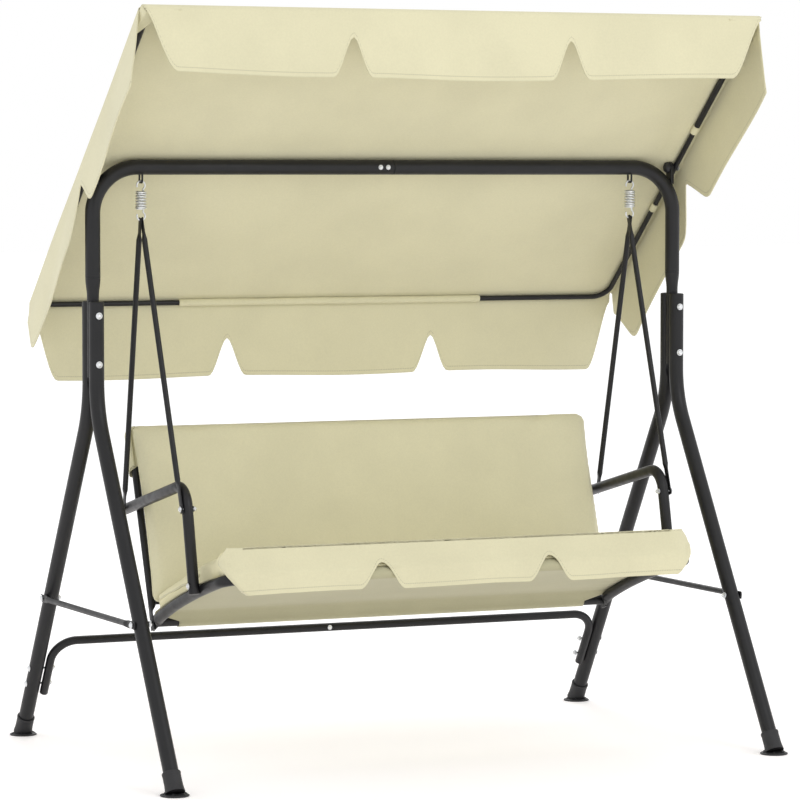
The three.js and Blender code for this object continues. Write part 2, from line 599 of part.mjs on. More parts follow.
function makeCanopyCloth() {
  const { frontS, rearS, under, ridge, cloth, frontR, rearR } = CANOPY;
  const s0 = frontS - frontR - GAP;
  const s1 = rearS + rearR + GAP;
  const low = [[s0, under]];
  for (const a of CANOPY.ridgeTurns) {
    const turn = THREE.MathUtils.degToRad(a);
    low.push([ridge * Math.sin(turn), ridge * Math.cos(turn)]);
  }
  low.push([s1, under]);
  const outline = low.concat(low.map(([s, h]) => [s, h + cloth]).reverse());
  const placed = outline.map(([s, h]) => canopyAt(0, s, h));
  return prismX(placed.map((p) => [p.y, p.z]), -CANOPY.clothX, CANOPY.clothX);
}
add("canopy_cloth", makeCanopyCloth(), "cloth");

function valance(halfWidth, sizes, y) {
  const outline = lobes(halfWidth, { ...sizes, notchZ: sizes.low + VALANCE.notchDepth });
  return prismY(outline, y, y + VALANCE.t);
}
add("valance_front", valance(CANOPY.clothX, FRONT_VALANCE, FRONT_VALANCE.y - VALANCE.t), "cloth");
add("valance_rear", valance(REAR_VALANCE.x, REAR_VALANCE, REAR_VALANCE.y), "cloth");

// Side valance: hangs beside the side tube in two lobes and stands outwards at its hem.
function makeSideValance() {
  const { topX, flare, drop, aboveTube, outline } = SIDE_VALANCE;
  return prismX(outline, 0, VALANCE.t).warp((p) => {
    const edge = PIVOT_Z - p[1] * Math.tan(TILT) + aboveTube;
    p[0] += topX + (flare * Math.max(0, edge - p[2])) / drop;
  });
}
addPair("valance_side", makeSideValance(), "cloth");

// ---------------------------------------------------------------- canopy brackets and knobs
function makeLug() {
  const round = (x0, x1, r) => drill(v3((x0 + x1) / 2, 0, PIVOT_Z), X, r, (x1 - x0) / 2, 20);
  const plate = round(LUG.x0, LUG.x1, LUG.r).add(box(LUG.x0, LUG.x1, -LUG.r, LUG.r, LUG.foot, PIVOT_Z));
  const boss = round(LUG.x1 - 0.5, CANOPY.sideX - CANOPY.rearR - GAP, LUG.bossR);
  const lug = plate.add(boss).subtract(rod(barPath(600), BAR.r + GAP));
  return largest(lug.subtract(drill(v3(LUG.x0, 0, PIVOT_Z), X, HOLE_R, 40)));
}
addPair("canopy_bracket", makeLug(), "frame");

// A round knob on the inner side, its stud running out through bracket and canopy tube to a capped nut.
function makeKnob() {
  const face = LUG.x0 - GAP;
  const grip = CANOPY.sideX + CANOPY.rearR + GAP - face;
  const profile = [
    [0, -12.5], [8, -11.5], [12.5, -8], [14.5, -3], [14, 0], [BOLT_R, 0], [BOLT_R, grip],
    [9, grip], [9, grip + 2], [6, grip + 5], [0, grip + 6],
  ];
  return turned(profile, v3(face, 0, PIVOT_Z), X, 16);
}
addPair("canopy_knob", makeKnob(), "rubber");

export default swing;
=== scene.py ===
"""Garden swing with a tilting canopy: its visible pieces, built round the frame's solids. Metres, +Z up, front -Y."""
import json
import math

import bmesh
import bpy
from bpy.props import FloatProperty, IntProperty, PointerProperty, StringProperty
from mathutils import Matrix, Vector, noise
from mathutils.bvhtree import BVHTree


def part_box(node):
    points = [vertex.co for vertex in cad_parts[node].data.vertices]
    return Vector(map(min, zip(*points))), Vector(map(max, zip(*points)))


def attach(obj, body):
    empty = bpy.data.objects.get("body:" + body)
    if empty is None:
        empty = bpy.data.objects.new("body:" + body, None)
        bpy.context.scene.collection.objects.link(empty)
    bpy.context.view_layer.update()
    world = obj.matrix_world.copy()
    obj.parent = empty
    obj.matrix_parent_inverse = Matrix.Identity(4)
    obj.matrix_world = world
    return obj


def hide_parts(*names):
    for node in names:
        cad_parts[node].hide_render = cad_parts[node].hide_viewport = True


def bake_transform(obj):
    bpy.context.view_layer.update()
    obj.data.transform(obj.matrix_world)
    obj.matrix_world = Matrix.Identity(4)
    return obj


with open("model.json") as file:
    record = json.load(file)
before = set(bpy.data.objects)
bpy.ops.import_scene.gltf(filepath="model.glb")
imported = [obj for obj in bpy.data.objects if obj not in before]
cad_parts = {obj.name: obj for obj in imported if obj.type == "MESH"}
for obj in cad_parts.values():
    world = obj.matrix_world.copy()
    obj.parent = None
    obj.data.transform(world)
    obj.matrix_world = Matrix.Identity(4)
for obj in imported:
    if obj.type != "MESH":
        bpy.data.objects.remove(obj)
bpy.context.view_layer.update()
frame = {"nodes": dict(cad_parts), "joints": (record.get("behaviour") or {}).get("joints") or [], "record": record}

bl_info = {
    "name": "Garden swing",
    "version": (1, 0, 0),
    "blender": (4, 5, 0),
    "location": "3D View > Sidebar > Swing",
    "description": "Builds a canopy swing's tubes, springs, cushions and cloth round its frame",
    "category": "Object",
}

MM = 0.001
TILT = math.radians(41.8)
X, Y, Z = Vector((1, 0, 0)), Vector((0, 1, 0)), Vector((0, 0, 1))
SIDES = {"right": 1, "left": -1}
JOINTS = {joint["name"]: joint for joint in frame["joints"]}
PIVOT = Vector(JOINTS["canopy_tilt"]["pos_m"])


def low(node):
    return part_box(node)[0]


def high(node):
    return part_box(node)[1]


def middle(node):
    return (low(node) + high(node)) / 2


def smooth(value, start, end):
    t = min(max((value - start) / (end - start), 0), 1)
    return t * t * (3 - 2 * t)


def mix(a, b, t):
    return a + (b - a) * t


# ---------------------------------------------------------------- sizes and colours a user would change
def size(name, millimetres, description):
    return FloatProperty(name=name, default=millimetres * MM, unit="LENGTH", description=description)


class TubeSizes(bpy.types.PropertyGroup):
    main: size("Leg and bar tube", 38, "Outer diameter of the legs and the top bar")
    swaged: size("Swaged end", 30, "Diameter of the bar's ends, where they slip between the legs")
    seat: size("Seat tube", 28, "Outer diameter of the arms and the seat's side tubes")
    rear_rail: size("Seat rear rail", 25, "Outer diameter of the rail behind the seat")
    back: size("Back frame", 19, "Outer diameter of the back's bent tube")
    hanger: size("Hanger", 14, "Outer diameter of the four hangers")
    brace: size("Side brace", 15, "Outer diameter of the braces between the legs")
    stretcher: size("Rear stretcher", 22, "Outer diameter of the tube between the rear legs")
    canopy_front: size("Canopy front tube", 16, "Outer diameter of the canopy's front tubes")
    canopy_rear: size("Canopy rear tube", 13.6, "Outer diameter of the canopy's rear tubes")
    low_rail: size("Back low rail", 16, "Outer diameter of the rail low in the back")
    round_sides: IntProperty(name="Sides", default=40, min=12, max=96, description="Sides of a round tube")


class ClothSizes(bpy.types.PropertyGroup):
    canopy_tilt: FloatProperty(
        name="Canopy tilt", default=TILT, subtype="ANGLE", description="Slope of the canopy at rest"
    )
    sheet: size("Cloth thickness", 1.6, "Thickness of the cloth with its seam allowance")
    hem: size("Hem", 15, "Width of the turned hem")
    notch: size("Notch flank", 52, "Width of one flank of a valance's notch")
    sag: size("Sag", 7, "How far the canopy sinks between its tubes")
    puff: size("Puff", 11, "How far the filling may push a cushion's cloth out")


class Colours(bpy.types.PropertyGroup):
    cloth: StringProperty(name="Cloth", default="#D5D0AF", description="Cream polyester")
    frame: StringProperty(name="Frame", default="#18181A", description="Black powder coat")
    zinc: StringProperty(name="Zinc", default="#E6E8EA", description="Zinc plating")
    plastic: StringProperty(name="Plastic", default="#1E1E20", description="Black polypropylene")
    floor: StringProperty(name="Floor", default="#FDFAFA", description="Studio floor")


# ---------------------------------------------------------------- materials
def linear(colour):
    """An sRGB hex colour as linear RGBA."""
    channels = [int(colour[i : i + 2], 16) / 255 for i in (1, 3, 5)]
    return [c / 12.92 if c <= 0.04045 else ((c + 0.055) / 1.055) ** 2.4 for c in channels] + [1.0]


def shade(colour, factor):
    return [min(c * factor, 1.0) for c in colour[:3]] + [1.0]


def add(tree, kind, settings=None, **inputs):
    """Adds a node: settings are its attributes, inputs its sockets by name, each a value or another's output."""
    made = tree.nodes.new(kind)
    for key, value in (settings or {}).items():
        setattr(made, key, value)
    for key, value in inputs.items():
        label = key.replace("_", " ")
        socket = made.inputs[int(key[1:])] if key[0] == "i" and key[1:].isdigit() else made.inputs[label]
        if isinstance(value, bpy.types.NodeSocket):
            tree.links.new(value, socket)
        else:
            socket.default_value = value
    return made


def start_material(name):
    material = bpy.data.materials.new(name)
    material.use_nodes = True
    tree = material.node_tree
    tree.nodes.clear()
    return material, tree


def end_material(tree, **inputs):
    shader = add(tree, "ShaderNodeBsdfPrincipled", None, **inputs)
    add(tree, "ShaderNodeOutputMaterial", None, Surface=shader.outputs[0])


def ramp(tree, factor, stops):
    made = add(tree, "ShaderNodeValToRGB", None, Fac=factor)
    band = made.color_ramp
    while len(band.elements) < len(stops):
        band.elements.new(0.5)
    for element, (place, colour) in zip(band.elements, stops):
        element.position = place
        element.color = colour
    return made.outputs["Color"]


def noise_at(tree, place, millimetres, detail=3.0, rough=0.5):
    """Noise whose lumps are about that many millimetres across."""
    settings = {"noise_dimensions": "3D"}
    made = add(tree, "ShaderNodeTexNoise", settings, Vector=place, Scale=1 / (millimetres * MM), Detail=detail)
    made.inputs["Roughness"].default_value = rough
    return made.outputs["Fac"]


def maths(tree, operation, a, b=0.0):
    return add(tree, "ShaderNodeMath", {"operation": operation}, i0=a, i1=b).outputs[0]


def powder_coated_steel(name, colour):
    """Steel tube, powder coated black and baked: a satin, slightly pebbled skin that thins to grey on its bends."""
    material, tree = start_material(name)
    place = add(tree, "ShaderNodeTexCoord").outputs["Object"]
    base = linear(colour)
    cloud = noise_at(tree, place, 90)
    tint = ramp(tree, cloud, [(0.3, shade(base, 0.86)), (0.7, shade(base, 1.16))])
    # The pebbled skin is 0.5 mm in life: drawn 2.5 mm across, as coarse as it needs to show.
    pebble = noise_at(tree, place, 2.5, 2.0)
    gloss = ramp(tree, noise_at(tree, place, 28), [(0.3, (0.34,) * 3 + (1,)), (0.7, (0.47,) * 3 + (1,))])
    bump = add(tree, "ShaderNodeBump", None, Strength=0.16, Distance=0.0004, Height=pebble)
    end_material(
        tree, Base_Color=tint, Roughness=gloss, Metallic=0.0, IOR=1.5, Specular_IOR_Level=0.34,
        Normal=bump.outputs[0],
    )
    return material


def zinc_plated_steel(name, colour):
    """Steel, zinc plated and passivated: bright and bluish, mottled by its crystals."""
    material, tree = start_material(name)
    place = add(tree, "ShaderNodeTexCoord").outputs["Object"]
    base = linear(colour)
    spangle = noise_at(tree, place, 5)
    tint = ramp(tree, spangle, [(0.3, shade(base, 0.82)), (0.7, shade(base, 1.04))])
    gloss = ramp(tree, noise_at(tree, place, 3), [(0.3, (0.30,) * 3 + (1,)), (0.7, (0.44,) * 3 + (1,))])
    bump = add(tree, "ShaderNodeBump", None, Strength=0.1, Distance=0.0002, Height=spangle)
    end_material(tree, Base_Color=tint, Roughness=gloss, Metallic=1.0, Normal=bump.outputs[0])
    return material


def moulded_polypropylene(name, colour):
    """Polypropylene, injection moulded: matt black with a fine spark-eroded grain and scuffs where it is handled."""
    material, tree = start_material(name)
    place = add(tree, "ShaderNodeTexCoord").outputs["Object"]
    base = linear(colour)
    scuff = noise_at(tree, place, 16, 6.0, 0.7)
    tint = ramp(tree, scuff, [(0.4, base), (0.75, shade(base, 1.8))])
    # Grain of 0.3 mm in life, drawn 1.2 mm across so that it shows.
    grain = noise_at(tree, place, 1.2, 1.0)
    gloss = ramp(tree, scuff, [(0.3, (0.5,) * 3 + (1,)), (0.7, (0.68,) * 3 + (1,))])
    bump = add(tree, "ShaderNodeBump", None, Strength=0.2, Distance=0.0003, Height=grain)
    end_material(tree, Base_Color=tint, Roughness=gloss, IOR=1.49, Normal=bump.outputs[0])
    return material


def blended(tree, kind, factor, a, b):
    """Two colours mixed; a Mix node's colour sockets are its seventh and eighth, and its third output."""
    settings = {"data_type": "RGBA", "blend_type": kind}
    return add(tree, "ShaderNodeMix", settings, i0=factor, i6=a, i7=b).outputs[2]


def thread(tree, place, direction, millimetres):
    """Rounded ridges of thread, one per spacing along a direction, each wandering a little."""
    along = add(tree, "ShaderNodeVectorMath", {"operation": "DOT_PRODUCT"}, i0=place, i1=direction).outputs["Value"]
    wander = noise_at(tree, place, 35, 2.0)
    turns = maths(tree, "ADD", maths(tree, "MULTIPLY", along, 1000 / millimetres), wander)
    return maths(tree, "ABSOLUTE", maths(tree, "SINE", maths(tree, "MULTIPLY", turns, math.pi)))


def woven_polyester(name, colour, stitched=False):
    """Polyester, plain woven and dyed cream: matt, with a fine square weave, uneven threads and a soft sheen."""
    material, tree = start_material(name)
    place = add(tree, "ShaderNodeTexCoord").outputs["Object"]
    base = linear(colour)
    # Threads are 0.6 mm apart in life: drawn 2.2 mm apart, as coarse as they need to show.
    spacing = 2.2
    slope = TILT
    across = thread(tree, place, (1, 0, 0), spacing)
    down = thread(tree, place, (0, -math.cos(slope), math.sin(slope)), spacing)
    out = thread(tree, place, (0, math.sin(slope), math.cos(slope)), spacing)
    weave = maths(tree, "ADD", maths(tree, "MULTIPLY", across, down), maths(tree, "MULTIPLY", down, out))
    slub = noise_at(tree, place, 5, 3.0, 0.6)
    cloud = noise_at(tree, place, 160, 3.0)
    grain = ramp(tree, slub, [(0.35, shade(base, 0.972)), (0.65, shade(base, 1.012))])
    soil = ramp(tree, cloud, [(0.35, (0.95, 0.95, 0.95, 1)), (0.65, (1, 1, 1, 1))])
    tint = blended(tree, "MULTIPLY", 1.0, grain, soil)
    height = maths(tree, "ADD", maths(tree, "MULTIPLY", weave, 0.5), maths(tree, "MULTIPLY", slub, 0.25))
    if stitched:
        edge = add(tree, "ShaderNodeAttribute", {"attribute_name": "edge"}).outputs["Fac"]
        run = add(tree, "ShaderNodeAttribute", {"attribute_name": "run"}).outputs["Fac"]
        # A lockstitch of 5 mm stitches, 11 mm in from the edge.
        line = maths(tree, "LESS_THAN", maths(tree, "ABSOLUTE", maths(tree, "SUBTRACT", edge, 0.011)), 0.0012)
        dash = maths(tree, "LESS_THAN", maths(tree, "FRACT", maths(tree, "MULTIPLY", run, 200.0)), 0.7)
        stitch = maths(tree, "MULTIPLY", line, dash)
        height = maths(tree, "SUBTRACT", height, maths(tree, "MULTIPLY", stitch, 1.5))
        tint = blended(tree, "MIX", stitch, tint, shade(base, 0.72))
    bump = add(tree, "ShaderNodeBump", None, Strength=0.22, Distance=0.0006, Height=height)
    end_material(
        tree, Base_Color=tint, Roughness=0.88, IOR=1.45, Sheen_Weight=0.18, Sheen_Roughness=0.5,
        Normal=bump.outputs[0],
    )
    return material


MATERIALS = {}


def material(name):
    return MATERIALS[name]


# ---------------------------------------------------------------- shapes
class Shape:
    """Gathers closed shells and turns them into one piece."""

    def __init__(self):
        self.verts = []
        self.faces = []

    def rings(self, rings, closed=True):
        """Skins a stack of rings; each end closes on its own middle."""
        base = len(self.verts)
        count = len(rings[0])
        for ring in rings:
            self.verts.extend(ring)
        for i in range(len(rings) - 1):
            for k in range(count):
                a, b = base + i * count + k, base + i * count + (k + 1) % count
                self.faces.append((a, b, b + count, a + count))
        if closed:
            self.faces.append(tuple(base + k for k in reversed(range(count))))
            self.faces.append(tuple(base + (len(rings) - 1) * count + k for k in range(count)))
        return self

    def lathe(self, profile, at, axis, sides=40, radius_of=None, turn=0.0):
        """A turned shape: profile of (radius, height) pairs along an axis, its ends flat."""
        u = axis.orthogonal().normalized()
        v = axis.cross(u).normalized()
        rings = []
        for radius, height in profile:
            ring = []
            for k in range(sides):
                angle = 2 * math.pi * k / sides + turn
                r = radius * (radius_of(angle, height) if radius_of else 1)
                ring.append(at + axis * height + u * (r * math.cos(angle)) + v * (r * math.sin(angle)))
            rings.append(ring)
        return self.rings(rings)

    def sweep(self, path, radius, normal, start="butt", end="butt", sides=None, dent=None):
        """A round bar along a path. Each end is "butt", "plug" or a pressed end's sizes."""
        sides = sides or TUBES.round_sides
        points = spaced(path, start, end)
        runs = [0.0]
        for a, b in zip(points, points[1:]):
            runs.append(runs[-1] + (b - a).length)
        total = runs[-1]
        n = normal.copy()
        rings = []
        for i, p in enumerate(points):
            t = (points[min(i + 1, len(points) - 1)] - points[max(i - 1, 0)]).normalized()
            n = (n - t * n.dot(t)).normalized()
            b = t.cross(n)
            half_n, half_b, shift = radius, radius, 0.0
            for distance, style in ((runs[i], start), (total - runs[i], end)):
                if isinstance(style, dict):
                    w = 1 - smooth(distance, style["flat"], style["length"])
                    half_n = mix(half_n, style["half"], w)
                    half_b = mix(half_b, radius * 1.3, w)
                    shift += style.get("shift", 0.0) * w
            rings.append(oval(p, n, b, half_n, half_b, shift, sides))
        rings = end_rings(rings, points, start, radius)
        rings = end_rings(rings[::-1], points[::-1], end, radius)[::-1]
        if dent:
            rings = [[dent(co) for co in ring] for ring in rings]
        return self.rings(rings)

    def piece(self, name, kind, body, slot, replaces=(), sharp=38.0):
        mesh = bpy.data.meshes.new(name)
        mesh.from_pydata([tuple(v) for v in self.verts], [], self.faces)
        mesh.validate()
        return as_piece(name, mesh, kind, body, replaces, sharp)


def as_piece(name, mesh, kind, body, replaces=(), sharp=38.0):
    tidy = bmesh.new()
    tidy.from_mesh(mesh)
    bmesh.ops.recalc_face_normals(tidy, faces=tidy.faces)
    tidy.to_mesh(mesh)
    tidy.free()
    for face in mesh.polygons:
        face.use_smooth = True
    mesh.set_sharp_from_angle(angle=math.radians(sharp))
    mesh.materials.append(material(kind))
    made = bpy.data.objects.new(name, mesh)
    bpy.context.scene.collection.objects.link(made)
    if body:
        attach(made, body)
    if replaces:
        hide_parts(*replaces)
    return made


def oval(p, n, b, half_n, half_b, shift, sides):
    """A ring round a point; a pressed one is squared, as a flattened tube is."""
    power = 1.0 if abs(half_n - half_b) < 1e-6 else 0.55
    ring = []
    for k in range(sides):
        angle = 2 * math.pi * (k + 0.5) / sides
        c, s = math.cos(angle), math.sin(angle)
        c = math.copysign(abs(c) ** power, c)
        ring.append(p + n * (half_n * c + shift) + b * (half_b * s))
    return ring


def end_rings(rings, points, style, radius):
    """Adds an end's own rings: a plastic plug's low dome, or a broken edge."""
    inward = (points[1] - points[0]).normalized()
    centre = sum(rings[0], Vector()) / len(rings[0])
    if style == "plug":
        steps = [(0.97, -0.0006), (0.97, -0.0014), (0.8, -0.0024), (0.45, -0.003)]
    else:
        steps = [(0.97, 0.0)]
        rings[0] = [co + inward * 0.0004 for co in rings[0]]
    extra = [[centre + (co - centre) * k + inward * d for co in rings[0]] for k, d in steps]
    return extra[::-1] + rings


def bent(corners, radius, degrees=5.0):
    """Points along straight runs, their inner corners rounded to a radius."""
    points = [corners[0].copy()]
    for before, corner, after in zip(corners, corners[1:], corners[2:]):
        into, out = (corner - before).normalized(), (after - corner).normalized()
        angle = into.angle(out)
        if angle < 1e-4:
            points.append(corner.copy())
            continue
        begin = corner - into * (radius * math.tan(angle / 2))
        side = (out - into * out.dot(into)).normalized()
        count = max(3, round(math.degrees(angle) / degrees))
        for k in range(count + 1):
            a = angle * k / count
            points.append(begin + into * (radius * math.sin(a)) + side * (radius * (1 - math.cos(a))))
    points.append(corners[-1].copy())
    return points


def spaced(points, start, end):
    """Adds points near a pressed end, so that its taper is round."""
    made = [p.copy() for p in points]
    for first, style in ((True, start), (False, end)):
        if not isinstance(style, dict):
            continue
        chain = made if first else made[::-1]
        marks = [style["flat"] + (style["length"] - style["flat"]) * k / 8 for k in range(9)]
        extra, run, i = [chain[0]], 0.0, 0
        for mark in marks:
            while i < len(chain) - 2 and run + (chain[i + 1] - chain[i]).length < mark:
                run += (chain[i + 1] - chain[i]).length
                i += 1
                if chain[i] not in extra:
                    extra.append(chain[i])
            step = chain[i + 1] - chain[i]
            extra.append(chain[i] + step * ((mark - run) / step.length))
        chain = extra + chain[i + 1 :]
        made = chain if first else chain[::-1]
    return made


def mirrored(points, side):
    return [Vector((p.x * side, p.y, p.z)) for p in points]


def fastener(shape, head, direction, grip, head_radius=0.0068, nut_radius=0.0062, nut=True):
    """A bolt: domed head and washer at `head`, its shank along direction, then washer, hex nut and thread end."""
    r = head_radius
    dome = [(r * math.sin(a), -r * 0.62 * math.cos(a)) for a in (0.12, 0.4, 0.7, 1.0, 1.3, math.pi / 2)]
    shape.lathe(dome + [(r, 0.0)], head - direction * 0.0012, direction, 28)
    shape.lathe([(r * 1.22, -0.0012), (r * 1.25, -0.001), (r * 1.25, -0.0001)], head, direction, 32)
    shape.lathe([(0.0029, 0.0), (0.0029, grip + 0.0075), (0.0024, grip + 0.0085)], head, direction, 20)
    if nut:
        far = head + direction * grip
        shape.lathe([(r * 1.2, 0.0001), (r * 1.2, 0.0012)], far, direction, 32)
        widths = ((0.88, 0.0013), (1.0, 0.0022), (1.0, 0.0055), (0.85, 0.0064))
        hexagon = [(nut_radius * width, height) for width, height in widths]
        shape.lathe(hexagon, far, direction, 6)
    return shape


# ---------------------------------------------------------------- frame pieces
def foot_point(place, side):
    mount = next(m for m in frame["record"]["mounts"] if m["name"] == f"foot_{place}_{side}")
    return Vector(mount["pos_m"])


def leg_line(place, side):
    """The leg's centre line: upright beside its twin, then bent outwards to the foot."""
    foot = foot_point(place, side)
    lean = math.copysign(1, foot.y)
    beside = lean * (abs(min(low(f"leg_{place}_{side}").y * lean, high(f"leg_{place}_{side}").y * lean)) + 0.018)
    top = Vector((foot.x, beside, high(f"leg_{place}_{side}").z))
    bend = Vector((foot.x, beside, 0.888))
    return bent([top, bend, foot + Z * 0.013], 0.26, 2.5)


def leg_y(side, height):
    """How far out the rear leg's line is at a height."""
    line = leg_line("rear", side)
    a, b = line[-2], line[-1]
    return mix(a.y, b.y, (a.z - height) / (a.z - b.z))


def build_legs():
    clear = TUBES.swaged / 2 + 0.0004
    end = low("top_bar_right").z
    for side in SIDES:
        for place in ("front", "rear"):
            line = leg_line(place, side)
            top, down = line[0], line[1]
            upright = [top + (down - top) * k / 24 for k in range(24)]
            centre = Vector((top.x, 0))

            def dent(co, centre=centre, lean=math.copysign(1, top.y)):
                """Presses the leg's inner face hollow, round the bar's end."""
                across = abs(co.x - centre.x)
                if across >= clear or co.z < end - 0.03:
                    return co
                wall = math.sqrt(clear * clear - across * across)
                pushed = max(co.y * lean, wall) * lean
                return Vector((co.x, mix(co.y, pushed, smooth(co.z, end - 0.03, end)), co.z))

            leg = Shape().sweep(upright + line[1:], TUBES.main / 2, X, "plug", "butt", dent=dent)
            leg.piece(f"leg_{place}_{side}_tube", "powder", "frame", "frame_tube", [f"leg_{place}_{side}"])


def build_feet():
    """A round pad with a ribbed cup that grips the leg."""
    for side in SIDES:
        for place in ("front", "rear"):
            line = leg_line(place, side)
            axis = (line[-2] - line[-1]).normalized()
            foot = foot_point(place, side)
            pad = [(0.0335, 0), (0.035, 0.0008), (0.0355, 0.002), (0.035, 0.0034), (0.0325, 0.0046), (0.024, 0.0052)]
            shape = Shape().lathe(pad, foot, Z, 64)
            cup = [
                (0.0246, -0.006), (0.0238, 0.001), (0.0228, 0.008), (0.0224, 0.016), (0.0224, 0.04), (0.0231, 0.041),
                (0.0231, 0.0445), (0.0222, 0.046), (0.0199, 0.0462), (0.0195, 0.044), (0.0195, 0.02),
            ]
            base = len(shape.verts)
            shape.lathe(cup, line[-1], axis, 48)
            for i in range(base, len(shape.verts)):
                shape.verts[i].z = max(shape.verts[i].z, 0.0035)
            for k in range(6):
                turn = 2 * math.pi * k / 6
                out = Vector((math.cos(turn), math.sin(turn), 0))
                root = Vector((foot.x, foot.y, 0.0045)) + out * 0.0225
                tip = Vector((foot.x, foot.y, 0.0045)) + out * 0.0315
                shape.sweep([root + Z * 0.004, mix(root, tip, 0.5) + Z * 0.0024, tip], 0.0014, Z, sides=10)
            shape.piece(f"foot_{place}_{side}_cup", "plastic", "frame", "foot_plastic", [f"foot_{place}_{side}"])


def bar_line(side):
    """Half of the top bar: level, round its corner and down to the swaged end."""
    sign = SIDES[side]
    level = high("top_bar_right").z - TUBES.main / 2 * math.cos(math.pi / 12)
    x = foot_point("rear", "right").x
    corners = [Vector((0.0003, 0, level)), Vector((x, 0, level)), Vector((x, 0, 1.215))]
    return mirrored(bent(corners, 0.118, 3.0), sign)


def build_top_bar():
    for side in SIDES:
        line = bar_line(side)
        shape = Shape().sweep(line, TUBES.main / 2, Y)
        r, thin = TUBES.main / 2, TUBES.swaged / 2
        fall = line[-1].z - low("top_bar_right").z
        taper = [(mix(r, thin, smooth(d, 0, 0.046)), d) for d in (0, 0.006, 0.013, 0.02, 0.027, 0.034, 0.041, 0.048)]
        shape.lathe(taper + [(thin, fall)], line[-1], -Z, TUBES.round_sides)
        shape.piece(f"top_bar_{side}_tube", "powder", "frame", "frame_tube", [f"top_bar_{side}"])
        shape = Shape()
        nodes = [f"leg_bolt_{place}_{side}" for place in ("upper", "lower")]
        for node in nodes:
            head = Vector((middle(node).x, low(node).y + 0.0045, middle(node).z))
            fastener(shape, head, Y, 2 * -head.y)
        shape.piece(f"leg_bolts_{side}", "zinc", "frame", "bolts", nodes)
    level = bar_line("right")[0].z
    shape = Shape()
    for x in (-0.0405, -0.0195):
        fastener(shape, Vector((x, -TUBES.main / 2, level)), Y, TUBES.main, 0.0050, nut=False)
    shape.piece("bar_joint_screws", "zinc", "frame", "bolts")


def build_braces():
    for side, sign in SIDES.items():
        node = f"side_brace_{side}"
        x, z = sign * (abs(foot_point("rear", side).x) + 0.019 + 0.0024), middle(node).z
        ends = [Vector((x, low(node).y, z)), Vector((x, high(node).y, z))]
        pressed = {"flat": 0.040, "length": 0.062, "half": 0.002}
        brace = Shape().sweep(ends, TUBES.brace / 2, X * sign, pressed, pressed)
        brace.piece(f"side_brace_{side}_tube", "powder", "frame", "frame_tube", [node])
        shape = Shape()
        for place in ("front", "rear"):
            bolt = middle(f"brace_bolt_{place}_{side}")
            head = Vector((sign * (abs(x) + 0.0036), bolt.y, bolt.z))
            fastener(shape, head, -X * sign, 0.0448)
        nodes = [f"brace_bolt_{place}_{side}" for place in ("front", "rear")]
        shape.piece(f"brace_bolts_{side}", "zinc", "frame", "bolts", nodes)


def build_stretcher():
    """The rear tube, its ends bent down beside the legs and bolted through them."""
    node = "stretcher_right"
    r = TUBES.stretcher / 2
    x, z = high(node).x - r, high(node).z - r
    y = leg_y("right", z) + (high(node).y - r - leg_y("right", low(node).z + 0.006))
    foot = Vector((x, leg_y("right", low(node).z + 0.006) + y - leg_y("right", z), low(node).z + 0.006))
    line = bent([Vector((0.0003, y, z)), Vector((x, y, z)), foot], 0.062, 4.0)
    for side, sign in SIDES.items():
        tube = Shape().sweep(mirrored(line, sign), r, Z, "butt", "plug")
        tube.piece(f"stretcher_{side}_tube", "powder", "frame", "frame_tube", [f"stretcher_{side}"])
        shape = Shape()
        for height in (0.189, 0.146):
            head = Vector((sign * (foot_point("rear", side).x * sign + 0.019), leg_y(side, height), height))
            fastener(shape, head, -X * sign, 0.0625)
        shape.piece(f"stretcher_bolts_{side}", "zinc", "frame", "bolts")
    shape = Shape()
    fastener(shape, Vector((-0.012, y - r, z)), Y, 2 * r, 0.005, nut=False)
    shape.piece("stretcher_screw", "zinc", "frame", "bolts")


def build_spring_mounts():
    """Wire staples under the bar that the springs hook on to."""
    for side in SIDES:
        node = f"spring_bracket_{side}"
        x, z, half = middle(node).x, low(node).z + 0.0024, 0.010
        top = high(node).z
        corners = [Vector((x, y, h)) for y, h in ((-half, top), (-half, z), (half, z), (half, top))]
        Shape().sweep(bent(corners, 0.005, 12), 0.0025, X, sides=20).piece(
            f"spring_staple_{side}", "powder", "frame", "frame_tube", [node]
        )


def build_springs():
    """Extension springs: two hooks and a close coil, all of one wire."""
    for side in SIDES:
        node = f"spring_{side}"
        x = middle(node).x
        top, bottom = high(node).z - 0.0018, low(node).z + 0.0018
        wire, hook, coil = 0.0022, 0.0108, 0.0122
        coil_top, coil_bottom, turns, per_turn = top - 0.0256, bottom + 0.0268, 8, 28

        def arc(z, up):
            angles = [math.radians(mix(-60, 207, k / 20)) for k in range(21)]
            return [Vector((x + hook * math.cos(a), 0, z - up * hook + up * hook * math.sin(a))) for a in angles]

        points = arc(top, 1)[::-1]
        for k in range(turns * per_turn + 1):
            a = 2 * math.pi * k / per_turn
            ease = smooth(k / (turns * per_turn), -0.08, 1.08)
            z = mix(coil_top, coil_bottom, ease)
            r = coil * mix(1, 0.55, max(smooth(k, 14, 0), smooth(k, turns * per_turn - 14, turns * per_turn)))
            points.append(Vector((x + r * math.cos(a), r * math.sin(a), z)))
        points += arc(bottom, -1)
        made = Shape().sweep(points, wire, Y, sides=12).piece(
            f"spring_{side}_wire", "zinc", None, "spring_steel", [node], sharp=80
        )
        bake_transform(made)


